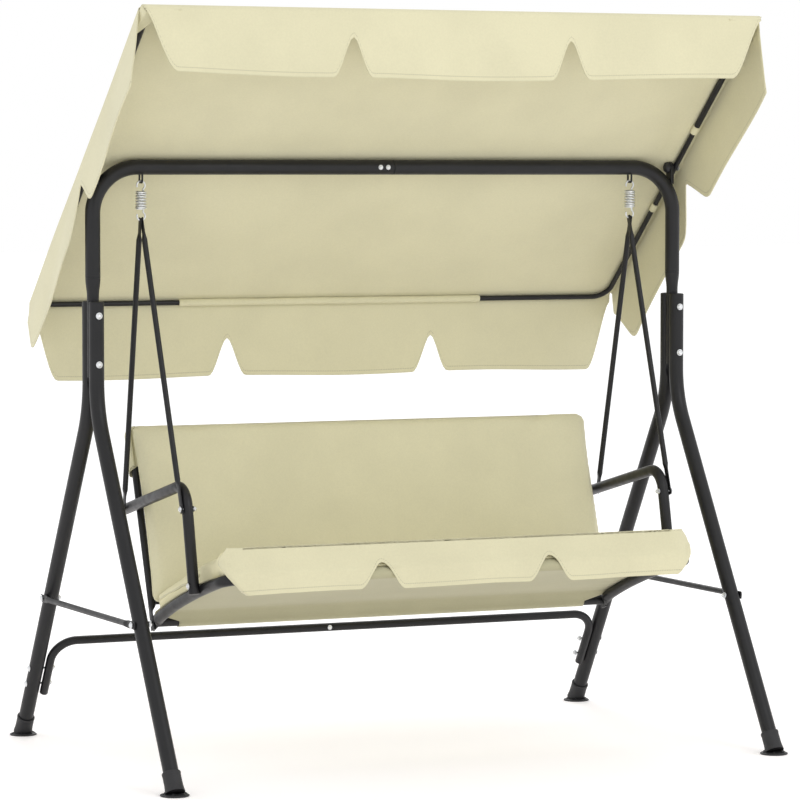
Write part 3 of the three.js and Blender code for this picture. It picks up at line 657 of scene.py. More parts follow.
# ---------------------------------------------------------------- seat frame
def build_hangers():
    for side, sign in SIDES.items():
        for place, lean in (("front", -1), ("rear", 1)):
            node, bolt = f"hanger_{place}_{side}", f"hanger_bolt_{place}_{side}"
            eye = Vector((sign * (0.687 + lean * 0.0023), 0, 1.357))
            hole = Vector((sign * 0.6766, middle(bolt).y, middle(bolt).z))
            along = (hole - eye).normalized()
            top = {"flat": 0.038, "length": 0.060, "half": 0.0019}
            foot = {"flat": 0.066, "length": 0.088, "half": 0.0019} if lean < 0 else top
            line = [eye - along * 0.0068, hole + along * 0.0098]
            rod = Shape().sweep(line, TUBES.hanger / 2, X * sign, top, foot)
            rod.piece(f"{node}_rod", "powder", "seat", "frame_tube", [node])
            grip = high(bolt).x - low(bolt).x - 0.0045 - 0.009
            shape = fastener(Shape(), hole + X * sign * 0.0033, -X * sign, grip, 0.006, 0.0058)
            shape.piece(f"{bolt}_set", "zinc", "seat", "bolts", [bolt])


def side_tube_line(side):
    """A seat side tube: low at the back, sweeping up and round into the front rail."""
    sign = SIDES[side]
    x = 0.635
    p0, p1, p2 = Vector((x, 0.058, 0.337)), Vector((x, -0.0935, 0.4128)), Vector((x, -0.390, 0.484))
    curve = [p0 * (1 - t) ** 2 + p1 * (2 * t * (1 - t)) + p2 * t * t for t in [k / 24 for k in range(25)]]
    lead = (curve[1] - curve[0]).normalized()
    corner = Vector((x, middle("front_rail").y, middle("front_rail").z))
    tail = bent([p2, corner, Vector((0.5204, corner.y, corner.z))], 0.048, 6.0)
    return mirrored([curve[0] - lead * 0.006] + curve[1:] + tail[1:], sign)


def build_seat_frame():
    for side, sign in SIDES.items():
        pressed = {"flat": 0.026, "length": 0.048, "half": 0.0025, "shift": 0.001}
        tube = Shape().sweep(side_tube_line(side), TUBES.seat / 2, X * sign, pressed)
        tube.piece(f"seat_side_{side}_tube", "powder", "seat", "frame_tube", [f"seat_side_{side}"])
    rail = middle("front_rail")
    ends = [Vector((-0.5198, rail.y, rail.z)), Vector((0.5198, rail.y, rail.z))]
    Shape().sweep(ends, TUBES.seat / 2, Y).piece("front_rail_tube", "powder", "seat", "frame_tube", ["front_rail"])
    for node, r in (("rear_rail", TUBES.rear_rail / 2), ("back_low_rail", TUBES.low_rail / 2)):
        centre = middle(node)
        half = high(node).x
        ends = [Vector((-half, centre.y, centre.z)), Vector((half, centre.y, centre.z))]
        Shape().sweep(ends, r, Y).piece(f"{node}_tube", "powder", "seat", "frame_tube", [node])
    shape = Shape()
    for sign in (1, -1):
        fastener(shape, Vector((sign * 0.6455, 0.052, 0.340)), -X * sign, 0.0142, 0.006)
        fastener(shape, Vector((sign * 0.6745, -0.285, 0.467)), -X * sign, 0.0535, 0.006)
    shape.piece("seat_corner_bolts", "zinc", "seat", "bolts")


def build_arms():
    """Bent tubes: an armrest and its front post, the post's foot coped to the side tube."""
    for side, sign in SIDES.items():
        node = f"arm_{side}"
        x = abs(middle(node).x)
        corners = [Vector((x, 0.190, 0.619)), Vector((x, -0.2306, 0.7145)), Vector((x, -0.2875, 0.449))]
        line = mirrored(bent(corners, 0.058, 4.0), sign)
        keep = TUBES.seat / 2 + 0.0004
        guide = side_tube_line(side)

        def dent(co):
            """Keeps the post's foot outside the side tube."""
            if co.z > 0.53:
                return co
            near = min(guide, key=lambda p: (p - co).length)
            away = co - near
            if abs(away.x) < keep and math.hypot(away.y, away.z) < keep + 0.002:
                edge = math.sqrt(max(keep * keep - min(away.y**2 + away.z**2, keep * keep), 0))
                return Vector((near.x + sign * max(abs(away.x), edge), co.y, co.z))
            return co

        arm = Shape().sweep(line, TUBES.seat / 2, X * sign, "plug", "plug", dent=dent)
        arm.piece(f"arm_{side}_tube", "powder", "seat", "frame_tube", [node])


def back_lean():
    """(lowest point, rise per metre back) of the back frame's posts."""
    foot, top = Vector((0.047, 0.322)), Vector((0.2156, 0.806))
    return foot, (top.x - foot.x) / (top.y - foot.y)


def back_y(z):
    foot, lean = back_lean()
    return foot.x + lean * (z - foot.y)


def build_back_frame():
    x, top = 0.636, 0.806
    low_end = back_lean()[0].y
    corners = [Vector((s * x, back_y(z), z)) for s, z in ((1, low_end), (1, top), (-1, top), (-1, low_end))]
    line = bent(corners, 0.045, 4.0)
    shape = Shape()
    half = len(line) // 2
    for sign, part in ((1, line[:half] + [mix(line[half - 1], line[half], 0.5)]), (-1, line[half:][::-1])):
        if sign < 0:
            part = part + [mix(line[half - 1], line[half], 0.5)]
        pressed = {"flat": 0.044, "length": 0.066, "half": 0.002, "shift": 0.0052}
        shape.sweep(part, TUBES.back / 2, X * sign, pressed)
    shape.piece("back_frame_tube", "powder", "seat", "frame_tube", ["back_frame"])


# ---------------------------------------------------------------- canopy frame
def canopy_point(x, s, h):
    """A place on the canopy: s down its slope to the rear, h square to it, both from the pivot."""
    tilt = CLOTH.canopy_tilt
    return Vector((x, s * math.cos(tilt) + h * math.sin(tilt), PIVOT.z - s * math.sin(tilt) + h * math.cos(tilt)))


# The canopy's front and rear tubes and their splice, down the slope from the pivot; its side tubes; half its sheet.
FRONT_S, REAR_S, SPLICE_S = -0.561, 0.530, -0.160
SIDE_X, CANOPY_HALF = 0.822, 0.8375


def build_canopy_frame():
    for side, sign in SIDES.items():
        for place, ends, r in (
            ("front", (SPLICE_S, FRONT_S), TUBES.canopy_front / 2),
            ("rear", (SPLICE_S + 0.0004, REAR_S), TUBES.canopy_rear / 2),
        ):
            corners = [canopy_point(SIDE_X, s, 0) for s in ends] + [canopy_point(0.0003, ends[1], 0)]
            line = mirrored(bent(corners, 0.045, 4.0), sign)
            normal = canopy_point(0, 0, 1) - canopy_point(0, 0, 0)
            tube = Shape().sweep(line, r, normal)
            node = f"canopy_{place}_tube_{side}"
            tube.piece(f"canopy_{place}_{side}_tube", "powder", "canopy", "frame_tube", [node])


def build_canopy_brackets():
    for side, sign in SIDES.items():
        node = f"canopy_bracket_{side}"
        x0, x1 = 0.803 * sign, 0.812 * sign
        r = 0.0148
        turns = [math.pi * (k / 16 - 0.5) for k in range(17)]
        outline = [Vector((0, r * math.sin(a), r * math.cos(a))) for a in turns]
        foot = -0.043
        outline += [Vector((0, r, foot)), Vector((0, -r, foot))]
        rings = []
        for x, inset in ((x0, 0.0012), (x0 + 0.0012 * sign, 0.0), (x1 - 0.0012 * sign, 0.0), (x1, 0.0012)):
            scale = 1 - inset / r
            rings.append([Vector((x, p.y * scale, PIVOT.z + p.z * (scale if p.z > 0 else 1))) for p in outline])
        shape = Shape().rings(rings)
        shape.lathe([(0.009, 0), (0.009, 0.0025), (0.0084, 0.0029)], Vector((x1, 0, PIVOT.z)), X * sign, 32)
        shape.piece(node + "_plate", "powder", "frame", "frame_tube", [node])


def build_knobs():
    """A lobed hand knob, its stud through the bracket and the canopy tube to a capped nut."""
    for side, sign in SIDES.items():
        node = f"canopy_knob_{side}"
        face = Vector((sign * 0.8026, 0, PIVOT.z))
        lobes = lambda angle, height: 1 + 0.05 * math.cos(8 * angle) * smooth(height, -0.0118, -0.008)
        head = [
            (0.005, -0.0125), (0.0085, -0.0119), (0.0115, -0.0098), (0.0132, -0.0065), (0.0137, -0.003),
            (0.0130, -0.0004),
        ]
        Shape().lathe(head, face, X * sign, 64, lobes).piece(
            node + "_cap", "plastic", f"knob_{side}", "knob_plastic", [node]
        )
        outer = Vector((sign * 0.8292, 0, PIVOT.z))
        cap = [(0.009, 0), (0.009, 0.0018), (0.0058, 0.002), (0.0056, 0.0036), (0.0042, 0.0052), (0.002, 0.0058)]
        stud = Shape().lathe(cap, outer, X * sign, 40)
        stud.lathe([(0.0029, -0.0265), (0.0029, 0.0005)], outer, X * sign, 20)
        stud.piece(node + "_stud", "zinc", f"knob_{side}", "bolts")


# ---------------------------------------------------------------- canopy cloth
def lobed_drop(x, full, apex, notch_at, end_at, end_flank):
    """How far a valance hangs at x: full between its notches, short at each notch and at its ends."""
    flank = CLOTH.notch
    drop = full
    for centre in (-notch_at, notch_at):
        near = abs(x - centre)
        drop = min(drop, mix(apex, full, smooth(near, 0.001, flank) ** 0.85))
    drop = min(drop, mix(0.012, full, smooth(end_at - abs(x), 0.0, end_flank) ** 0.8))
    return drop + 0.003 * math.sin(9 * x + 1)


# How far the front and rear valances hang below their tubes.
FRONT_FALL, REAR_FALL = 0.160, 0.197
# The side valance's cut line: places down the slope and how far it hangs at each.
SIDE_DROP = [(-0.60, 0.182), (-0.155, 0.186), (-0.136, 0.168), (-0.03, 0.062), (-0.024, 0.066), (0.004, 0.165),
             (0.022, 0.176), (0.395, 0.199), (0.415, 0.19), (0.536, 0.036), (0.60, 0.034)]


def side_drop(s):
    """How far a side valance hangs at a place down the slope: its cut line, with rounded corners."""
    total = 0.0
    for step in range(-4, 5):
        at = min(max(s + step * 0.0055 * smooth(abs(s + 0.027), 0.0, 0.02), SIDE_DROP[0][0]), SIDE_DROP[-1][0])
        for (s0, d0), (s1, d1) in zip(SIDE_DROP, SIDE_DROP[1:]):
            if s0 <= at <= s1:
                total += mix(d0, d1, (at - s0) / (s1 - s0))
                break
    return total / 9


def hang_steps(drop):
    """Places down a valance, as fractions, with one at the top of its hem."""
    hem = min(CLOTH.hem / max(drop, 0.001), 0.5)
    return [(1 - hem) * k / 12 for k in range(1, 13)] + [1 - hem * 0.3, 1.0]


def build_canopy_cloth():
    """The canopy: one stretched sheet over the tubes, hemmed valances hanging from its four edges."""
    half = CANOPY_HALF
    columns = [half * (2 * k / 210 - 1) for k in range(211)]
    slopes = [mix(FRONT_S + 0.004, REAR_S - 0.003, k / 104) for k in range(105)]
    verts, faces, edge, run = [], [], [], []

    def put(co, from_edge, along):
        verts.append(co)
        edge.append(from_edge)
        run.append(along)
        return len(verts) - 1

    def top_height(x, s):
        wrap = TUBES.canopy_front / 2 + 0.0026
        ridge = mix(0.0105, 0.0222, smooth(0.815 - abs(x), 0, 0.05))
        bay = abs(s) / abs(FRONT_S if s < 0 else REAR_S)
        round_ridge = 0.5 * (math.sqrt(bay * bay + 0.0016) + bay)
        base = mix(ridge, wrap, min(round_ridge, 1))
        across = 1 - (abs(x) / half) ** 4
        sag = CLOTH.sag * math.sin(math.pi * min(bay, 1)) * across * smooth(bay, 0.0, 0.25)
        fold = 0.0016 * math.sin(15 * x + 5 * s) * math.sin(math.pi * min(bay, 1))
        ripple = 0.0022 * (noise.noise(Vector((x * 3.5, s * 2.2, 1.0)))) * math.sin(math.pi * min(bay, 1))
        return base - sag + fold + ripple

    def valance(x, front):
        """A chain of points from the sheet's edge round the tube and down to the hem."""
        r = (TUBES.canopy_front if front else TUBES.canopy_rear) / 2 + 0.0028
        s = FRONT_S if front else REAR_S
        axis = canopy_point(x, s, 0)
        begin, end = math.pi / 2 - CLOTH.canopy_tilt, (math.pi if front else 0.0)
        chain = []
        for k in range(1, 8):
            a = mix(begin, end, k / 7)
            chain.append((axis + Vector((0, r * math.cos(a), r * math.sin(a))), 1.0))
        if front:
            drop = lobed_drop(x, FRONT_FALL, 0.062, 0.296, half, 0.085) - 0.014 * smooth(abs(x), 0.34, 0.75)
        else:
            drop = lobed_drop(x, REAR_FALL, 0.098, 0.295, half, 0.07)
        out = -1 if front else 1
        start = chain[-1][0]
        for f in hang_steps(drop):
            d = drop * f
            billow = 0.0035 * math.sin(11 * x + (0.6 if front else 2.1)) * (d / 0.16)
            billow += 0.003 * noise.noise(Vector((x * 6, d * 8, 3.0 if front else 7.0))) * (d / 0.12)
            chain.append((start + Vector((0, out * (0.0005 + abs(billow)), -d)), drop - d))
        return chain

    grid = []
    for x in columns:
        front = [put(co, e, x) for co, e in reversed(valance(x, True))]
        top = [put(canopy_point(x, s, top_height(x, s)), 1.0, x) for s in slopes]
        rear = [put(co, e, x) for co, e in valance(x, False)]
        grid.append((front, top, rear))
    for a, b in zip(grid, grid[1:]):
        chain_a, chain_b = sum(a, []), sum(b, [])
        for i in range(len(chain_a) - 1):
            faces.append((chain_a[i], chain_b[i], chain_b[i + 1], chain_a[i + 1]))

    for sign, (_, top, _) in ((-1, grid[0]), (1, grid[-1])):
        rows = []
        for s, first in zip(slopes, top):
            drop = side_drop(s)
            corner = verts[first]
            row = [first]
            for k in range(1, 5):
                a = math.pi / 2 * k / 4
                fold = Vector((sign * 0.0065 * math.sin(a), 0, -0.0065 * (1 - math.cos(a))))
                row.append(put(corner + fold, 1.0, s))
            start = verts[row[-1]]
            for f in hang_steps(drop):
                d = drop * f
                wave = 0.003 * math.sin(13 * s + 1.3) * d / 0.15
                wave += 0.003 * noise.noise(Vector((s * 5, d * 7, 5 + sign)))
                out = 0.022 * (d / 0.195) ** 1.3 + wave * smooth(d, 0.0, 0.08)
                row.append(put(start + Vector((sign * max(out, 0.0), 0, -d)), drop - d, s))
            rows.append(row)
        for a, b in zip(rows, rows[1:]):
            for i in range(len(a) - 1):
                faces.append((a[i], b[i], b[i + 1], a[i + 1]))

    mesh = bpy.data.meshes.new("canopy_cover")
    mesh.from_pydata([tuple(v) for v in verts], [], faces)
    for name, values in (("edge", edge), ("run", run)):
        layer = mesh.attributes.new(name, "FLOAT", "POINT")
        layer.data.foreach_set("value", values)
    nodes = ["canopy_cloth", "valance_front", "valance_rear", "valance_side_right", "valance_side_left"]
    made = as_piece("canopy_cover", mesh, "canopy", "canopy", nodes, 180)
    hem = made.vertex_groups.new(name="hem")
    for i, d in enumerate(edge):
        hem.add([i], 1.0 if d < CLOTH.hem * 1.02 else 0.0, "REPLACE")
    thick = made.modifiers.new("cloth", "SOLIDIFY")
    thick.thickness, thick.offset = CLOTH.sheet * 1.7, 0.0
    thick.vertex_group, thick.thickness_vertex_group = "hem", 0.55


def build_corner_pocket(side, sign):
    """A three-cornered pocket under the canopy's front corner, that the bent tube sits in."""
    reach, under = 0.098, TUBES.canopy_front / 2 + 0.002
    rows = []
    for i in range(25):
        a = i / 24
        edge = (reach * max(1 - 2 * a, 0), reach * max(2 * a - 1, 0))
        hollow = (reach * ((1 - a) ** 2 + 0.7 * a * (1 - a)), reach * (a**2 + 0.7 * a * (1 - a)))
        row = []
        for k in range(13):
            f = k / 12
            inward, back = mix(edge[0], hollow[0], f), mix(edge[1], hollow[1], f)
            height = mix(0.004, -under, smooth(f, 0.0, 0.3)) + 0.002 * math.sin(math.pi * f)
            row.append(canopy_point(sign * (CANOPY_HALF + 0.005 - inward), FRONT_S - 0.0095 + back, height))
        rows.append(row)
    made, area = cloth_grid(f"corner_pocket_{side}", rows, "canopy_plain", "canopy", [], 0.0012)


def build_canopy_trim():
    """Cloth tabs round the side tubes, and the sleeve that holds the rear tube."""
    slope = canopy_point(0, 1, 0) - canopy_point(0, 0, 0)
    for side, sign in SIDES.items():
        for name, s, r in (("front", -0.150, TUBES.canopy_front / 2), ("rear", 0.158, TUBES.canopy_rear / 2)):
            centre = canopy_point(SIDE_X * sign, s, 0)
            marks = ((0.0006, -0.013), (0.0018, -0.0125), (0.0021, 0.0), (0.0018, 0.0125), (0.0006, 0.013))
            tab = Shape().lathe([(r + proud, along) for proud, along in marks], centre, slope, 40)
            tab.piece(f"tube_tab_{name}_{side}", "canopy_plain", "canopy", "canopy_cloth")
    for side, sign in SIDES.items():
        build_corner_pocket(side, sign)
    r = TUBES.canopy_rear / 2
    wavy = lambda angle, height: 1 + 0.06 * noise.noise(Vector((math.cos(angle), math.sin(angle), height * 30)))
    profile = [(r + 0.0024, -0.434 + 0.868 * k / 60) for k in range(61)]
    profile = [(r + 0.0012, -0.435), *profile, (r + 0.0012, 0.435)]
    Shape().lathe(profile, canopy_point(0, REAR_S, 0), X, 40, wavy).piece(
        "rear_tube_sleeve", "canopy_plain", "canopy", "canopy_cloth"
    )


# ---------------------------------------------------------------- cushions
def remeshed(name, node, shrink, voxel, smooth_steps):
    """A copy of a soft solid, shrunk a little and remeshed evenly, ready to fill."""
    copy = frame["nodes"][node].data.copy()
    made = bpy.data.objects.new(name, copy)
    bpy.context.scene.collection.objects.link(made)
    centre = middle(node)
    reach = (high(node) - low(node)) / 2
    for v in copy.vertices:
        d = v.co - centre
        v.co = centre + Vector([d[i] * (1 - shrink[i] / reach[i]) for i in range(3)])
    even_out(made, voxel, smooth_steps)
    return made


def even_out(made, voxel, smooth_steps):
    """Remeshes a closed form evenly and softens its edges."""
    even = made.modifiers.new("even", "REMESH")
    even.mode, even.voxel_size = "VOXEL", voxel
    soften = made.modifiers.new("soften", "SMOOTH")
    soften.factor, soften.iterations = 0.5, smooth_steps
    baked = bpy.data.meshes.new_from_object(made.evaluated_get(bpy.context.evaluated_depsgraph_get()))
    made.modifiers.clear()
    made.data = baked


def filled(made, pressure, frames, cap):
    """Blows the cushion up as cloth for a few frames; no point moves further than the cap."""
    rest = [v.co.copy() for v in made.data.vertices]
    cloth = made.modifiers.new("fill", "CLOTH")
    cloth.settings.quality = 5
    cloth.settings.mass = 0.3
    cloth.settings.tension_stiffness = cloth.settings.compression_stiffness = 12
    cloth.settings.bending_stiffness = 0.4
    cloth.settings.use_pressure = True
    cloth.settings.uniform_pressure_force = pressure
    cloth.settings.effector_weights.gravity = 0.0
    cloth.collision_settings.use_self_collision = False
    cloth.point_cache.frame_end = frames
    scene = bpy.context.scene
    for number in range(1, frames + 1):
        scene.frame_set(number)
    moved = bpy.data.meshes.new_from_object(made.evaluated_get(bpy.context.evaluated_depsgraph_get()))
    made.modifiers.clear()
    made.data = moved
    scene.frame_set(1)
    for v, start in zip(moved.vertices, rest):
        step = v.co - start
        if step.length > cap:
            v.co = start + step.normalized() * (cap * (2 - cap / step.length) if step.length < 2 * cap else cap * 1.5)
    return made


def finish_cushion(made, node, limits):
    """Clamps the cushion clear of its neighbours, smooths it and hands it over."""
    mesh = made.data
    for v in mesh.vertices:
        v.co = limits(v.co)
    name = made.name
    bpy.data.objects.remove(made)
    made = as_piece(name, mesh, "seat", "seat", [node], 180)
    relax = made.modifiers.new("relax", "SMOOTH")
    relax.factor, relax.iterations = 0.5, 3
    finer = made.modifiers.new("finer", "SUBSURF")
    finer.levels = finer.render_levels = 1
    return made


def seat_curve(t, lift):
    """A place on the seat's side curve, lifted square to it."""
    p0, p1, p2 = Vector((0, 0.058, 0.337)), Vector((0, -0.0935, 0.4128)), Vector((0, -0.4385, 0.496))
    p = p0 * (1 - t) ** 2 + p1 * (2 * t * (1 - t)) + p2 * t * t
    along = ((p1 - p0) * (1 - t) + (p2 - p1) * t).normalized()
    return p + Vector((0, along.z, -along.y)) * lift


def fall_line():
    """The flap's path over the seat's front roll, from its crest to its hem, as (y, z) places."""
    marks = [(-0.336, 0.5655), (-0.346, 0.5695), (-0.362, 0.5695), (-0.384, 0.5640), (-0.404, 0.5535),
             (-0.422, 0.5395), (-0.4375, 0.5240), (-0.4495, 0.5075), (-0.4555, 0.4920), (-0.4562, 0.4750),
             (-0.4558, 0.4575)]
    made = []
    for k in range(len(marks) - 1):
        a, b, c, d = (Vector(marks[min(max(k + i, 0), len(marks) - 1)]) for i in (-1, 0, 1, 2))
        for i in range(8):
            f = i / 8
            made.append(tuple(
                0.5 * (2 * b + (c - a) * f + (2 * a - 5 * b + 4 * c - d) * f * f + (3 * b - a - 3 * c + d) * f**3)
            ))
    return made + [marks[-1]]


FALL = fall_line()


def build_seat_cushion():
    made = remeshed("seat_pad", "seat_cushion", (0.001, 0.002, 0.003), 0.007, 4)
    filled(made, 3.0, 16, CLOTH.puff)
    rail_y = middle("front_rail").y

    def limits(co):
        """Keeps the pad above the side tubes, under its flap and behind the flap's fall."""
        if co.y > rail_y and co.z < 0.56:
            t = min(range(81), key=lambda k: abs(seat_curve(k / 80, 0.0157).y - co.y)) / 80
            co = Vector((co.x, co.y, max(co.z, seat_curve(t, 0.0157).z)))
        reach = 0.647 - 0.030 * smooth(-co.y, 0.335, 0.45)
        co = Vector((max(min(co.x, reach), -reach), max(co.y, -0.4520), co.z))
        if co.y < -0.10:
            co.z = min(co.z, 0.5672 - 0.105 * (co.y + 0.346))
        if co.y < -0.33:
            nearby = min(FALL, key=lambda p: abs(p[0] - co.y))
            co.z = min(co.z, nearby[1] - 0.0028 - 0.008 * smooth(abs(co.x), 0.57, 0.62) * smooth(-co.y, 0.35, 0.37))
            front = min(FALL, key=lambda p: abs(p[1] - co.z) + (1 if p[0] > -0.35 else 0))
            co.y = max(co.y, front[0] + 0.004 + 0.030 * smooth(abs(co.x), 0.56, 0.63))
            inner = mix(reach, flap_half(co.z + 0.004) - 0.007, smooth(-co.y, 0.325, 0.350))
            co.x = max(min(co.x, inner), -inner)
        return co

    finish_cushion(made, "seat_cushion", limits)


def back_point(x, up, out):
    """A place by the back frame: up its posts from their feet, out towards the sitter."""
    foot, lean = back_lean()
    angle = math.atan(lean)
    rise, normal = Vector((0, math.sin(angle), math.cos(angle))), Vector((0, -math.cos(angle), math.sin(angle)))
    return Vector((x, foot.x, foot.y)) + rise * up + normal * out


def rounded(value, start, end, radius):
    """How much a rounded end takes off a width: 0 along the straight, the radius at either end."""
    near = min(value - start, end - value)
    return 0.0 if near >= radius else radius - math.sqrt(max(radius**2 - (radius - max(near, 0)) ** 2, 0))


def build_back_cushion():
    """The back's pad: a flat filled panel, its sides drawn in behind its face, its top rolled to the frame."""
    start, end, half = 0.060, 0.5310, 0.6500
    rings = []
    heights = [mix(start, end, k / 60) for k in range(61)]
    fine = [start + 0.001, start + 0.003, start + 0.006, end - 0.006, end - 0.003, end - 0.001]
    for up in sorted(heights + fine):
        wide = half - rounded(up, start, end, 0.020)
        front = 0.048 - 0.7 * rounded(up, start, end, 0.022)
        back = 0.0125 + 0.25 * rounded(up, start, end, 0.022)
        ring = []
        for k in range(240):
            a = 2 * math.pi * k / 240
            c, s = math.cos(a), math.sin(a)
            across = math.copysign(abs(c) ** 0.16, c)
            deep = math.copysign(abs(s) ** 0.45, s)
            out = mix(back, front, 0.5 + 0.5 * deep)
            crown = 0.006 * (1 - across**4) * max(deep, 0) * smooth(up, start, start + 0.12)
            x = across * (wide - 0.026 * smooth(0.5 - deep, 0.2, 1.5))
            ring.append(back_point(x, up, out + crown))
        rings.append(ring)
    shape = Shape().rings(rings)
    mesh = bpy.data.meshes.new("back_pad")
    mesh.from_pydata([tuple(v) for v in shape.verts], [], shape.faces)
    made = bpy.data.objects.new("back_pad", mesh)
    bpy.context.scene.collection.objects.link(made)
    even_out(made, 0.007, 3)
    filled(made, 2.5, 14, CLOTH.puff * 0.5)
    face = 0.0108 / math.cos(math.atan(back_lean()[1]))

    def limits(co):
        return Vector((max(min(co.x, 0.6530), -0.6530), min(co.y, back_y(co.z) - face), co.z))

    finish_cushion(made, "back_cushion", limits)


def cloth_grid(name, rows, kind, body, replaces, thickness, edge=None):
    """A sheet from rows of points."""
    verts = [co for row in rows for co in row]
    width = len(rows[0])
    faces = []
    for i in range(len(rows) - 1):
        for k in range(width - 1):
            a = i * width + k
            faces.append((a, a + 1, a + width + 1, a + width))
    mesh = bpy.data.meshes.new(name)
    mesh.from_pydata([tuple(v) for v in verts], [], faces)
    if edge:
        for key, values in (("edge", edge), ("run", [co.x for co in verts])):
            mesh.attributes.new(key, "FLOAT", "POINT").data.foreach_set("value", values)
    area = sum(f.area for f in mesh.polygons)
    made = as_piece(name, mesh, kind, body, replaces, 180)
    thick = made.modifiers.new("cloth", "SOLIDIFY")
    thick.thickness, thick.offset = thickness, 0.0
    return made, area


# The flap's end: heights, and half its width at each.
FLAP_END = [(0.440, 0.570), (0.459, 0.584), (0.466, 0.598), (0.485, 0.618), (0.510, 0.638), (0.532, 0.646),
            (0.548, 0.640), (0.560, 0.630), (0.572, 0.621)]


def flap_half(z):
    """Half the flap's width at a height: its ends are rounded."""
    for (z0, x0), (z1, x1) in zip(FLAP_END, FLAP_END[1:]):
        if z <= z1:
            return mix(x0, x1, (max(z, z0) - z0) / (z1 - z0))
    return FLAP_END[-1][1]


def build_front_flap():
    """The cloth that falls over the seat's front roll: three lobes between notches."""
    count, low_z, apex = 260, 0.4575, 0.5270
    runs = [0.0]
    for a, b in zip(FALL, FALL[1:]):
        runs.append(runs[-1] + math.dist(a, b))
    full = runs[-1]
    rows, edge = [], []
    fractions = [k / 26 for k in range(26)] + [0.978, 0.991, 1.0]

    def at(run):
        k = next(i for i, r in enumerate(runs) if r >= run - 1e-9)
        if k == 0:
            return FALL[0]
        f = (run - runs[k - 1]) / (runs[k] - runs[k - 1])
        return mix(FALL[k - 1][0], FALL[k][0], f), mix(FALL[k - 1][1], FALL[k][1], f)

    def length_at(x):
        short = 0.0
        for centre in (-0.2295, 0.2295):
            short = max(short, (apex - low_z) * (1 - smooth(abs(x - centre), 0.001, 0.060) ** 0.95))
        return full - short - 0.003 * (0.5 + 0.5 * math.sin(14 * x + 0.5))

    corner_x, corner_y, keep, rail_z, tube = 0.587, -0.3905, 0.0658, 0.496, 0.014

    def clear_of_corner(x, y, z):
        """Keeps the flap in front of the tube's bent corners; it acts over the whole width, the crest included."""
        across = max(abs(x) - corner_x, 0)
        reach = math.sqrt(max(keep**2 - across * across, 0))
        return min(y, corner_y - reach + max(abs(z - rail_z) - tube, 0) * 0.6)

    for f in fractions:
        row = []
        for k in range(count + 1):
            u = 2 * k / count - 1
            nominal = u * 0.64
            length = length_at(nominal)
            y, z = at(length * f)
            slant = max(abs(nominal) - 0.45, 0) / 0.19
            x = math.copysign(mix(abs(nominal), flap_half(z), slant), u)
            end = smooth(abs(u), 0.90, 1.0)
            fall = smooth(length * f, 0.05, full)
            fold = math.sin(17 * x + 2.0) * 0.003 + 0.004 * noise.noise(Vector((x * 6, f * 2, 2.0)))
            y += end * end * mix(0.0, 0.024, smooth(f, 0.15, 0.5)) * mix(1.0, 0.9, fall)
            y -= (abs(fold) + 0.0004) * fall * (1 - end)
            row.append(Vector((x, clear_of_corner(x, y, z), z)))
            edge.append(min(length * (1 - f), (1 - abs(u)) * 0.64 + 0.0001))
        rows.append(row)
    made, area = cloth_grid("front_flap_cloth", rows, "stitched", "seat", ["front_flap"], 0.0022, edge)


def build_sling():
    """The cloth under the cushion: round the rear rail and forward to the front rail."""
    rail = middle("rear_rail")
    wrap = TUBES.rear_rail / 2 + 0.0016
    rows, line = [], []
    for k in range(15):
        a = math.radians(mix(75, -185, k / 14))
        line.append((rail.y + wrap * math.cos(a), rail.z + wrap * math.sin(a), 0.574))
    for k in range(1, 41):
        p = seat_curve(mix(0.075, 0.985, k / 40), mix(0.0, 0.0150, smooth(k, 0, 3)))
        line.append((p.y, p.z, mix(0.574, 0.646, smooth(k, 0, 2)) - 0.065 * smooth(k, 35, 40)))
    front = middle("front_rail")
    for k in range(1, 17):
        a = math.radians(mix(80, 310, k / 16))
        line.append((front.y + 0.0152 * math.cos(a), front.z + 0.0152 * math.sin(a), 0.580))
    for i, (y, z, half) in enumerate(line):
        row = []
        for k in range(121):
            u = 2 * k / 120 - 1
            sag = 0.0045 * (1 - u**6) * smooth(i, 18, 26) * (1 - smooth(i, 46, 54))
            pull = 0.004 * math.exp(-(((abs(u) - 0.93) / 0.04) ** 2)) * math.sin(i * 0.9) * smooth(i, 16, 22)
            row.append(Vector((u * half, y, z - sag - abs(pull) * (1 - smooth(i, 44, 52)))))
        rows.append(row)
    made, area = cloth_grid("seat_sling_cloth", rows, "sling", "seat", ["seat_sling"], 0.0012)


def build_back_pocket():
    """The pocket of cloth that slips over the back frame's top and its posts, cut on a slant at their fronts."""
    start, end, half, deep = 0.404, 0.5345, 0.6525, 0.0125
    corner = 0.030
    rows = []
    for i in range(31):
        up = mix(start, end, 1 - (1 - i / 30) ** 1.4)
        roll = rounded(up, -1, end, deep)
        wide = half - rounded(up, -1, end, corner)
        reach = max(deep - roll, 0.0004)
        row = []
        for k in range(13):
            a = math.pi / 2 * (1 - k / 12) + math.pi / 2
            row.append((-wide + reach + reach * math.cos(a), reach * math.sin(a)))
        for k in range(13):
            a = math.pi + math.pi / 2 * k / 12
            row.append((-wide + reach + reach * math.cos(a), reach * math.sin(a)))
        row = [(-wide + 0.055 - 0.006 * k, reach) for k in range(7)] + row
        row += [(mix(-wide + reach, 0, k / 60), -reach) for k in range(1, 61)]
        row += [(-x, out) for x, out in reversed(row[:-1])]
        line = []
        for x, out in row:
            slant = 0.022 * smooth(out, -deep, deep) * (1 - i / 30) if abs(x) > 0.6 else 0
            soft = 0.0012 * noise.noise(Vector((x * 7, up * 11, 4))) * (1 if out < 0 else 0)
            line.append(back_point(x, up + slant, out - abs(soft)))
        rows.append(line)
    made, area = cloth_grid("back_pocket_cloth", rows, "seat_plain", "seat", [], 0.0014)


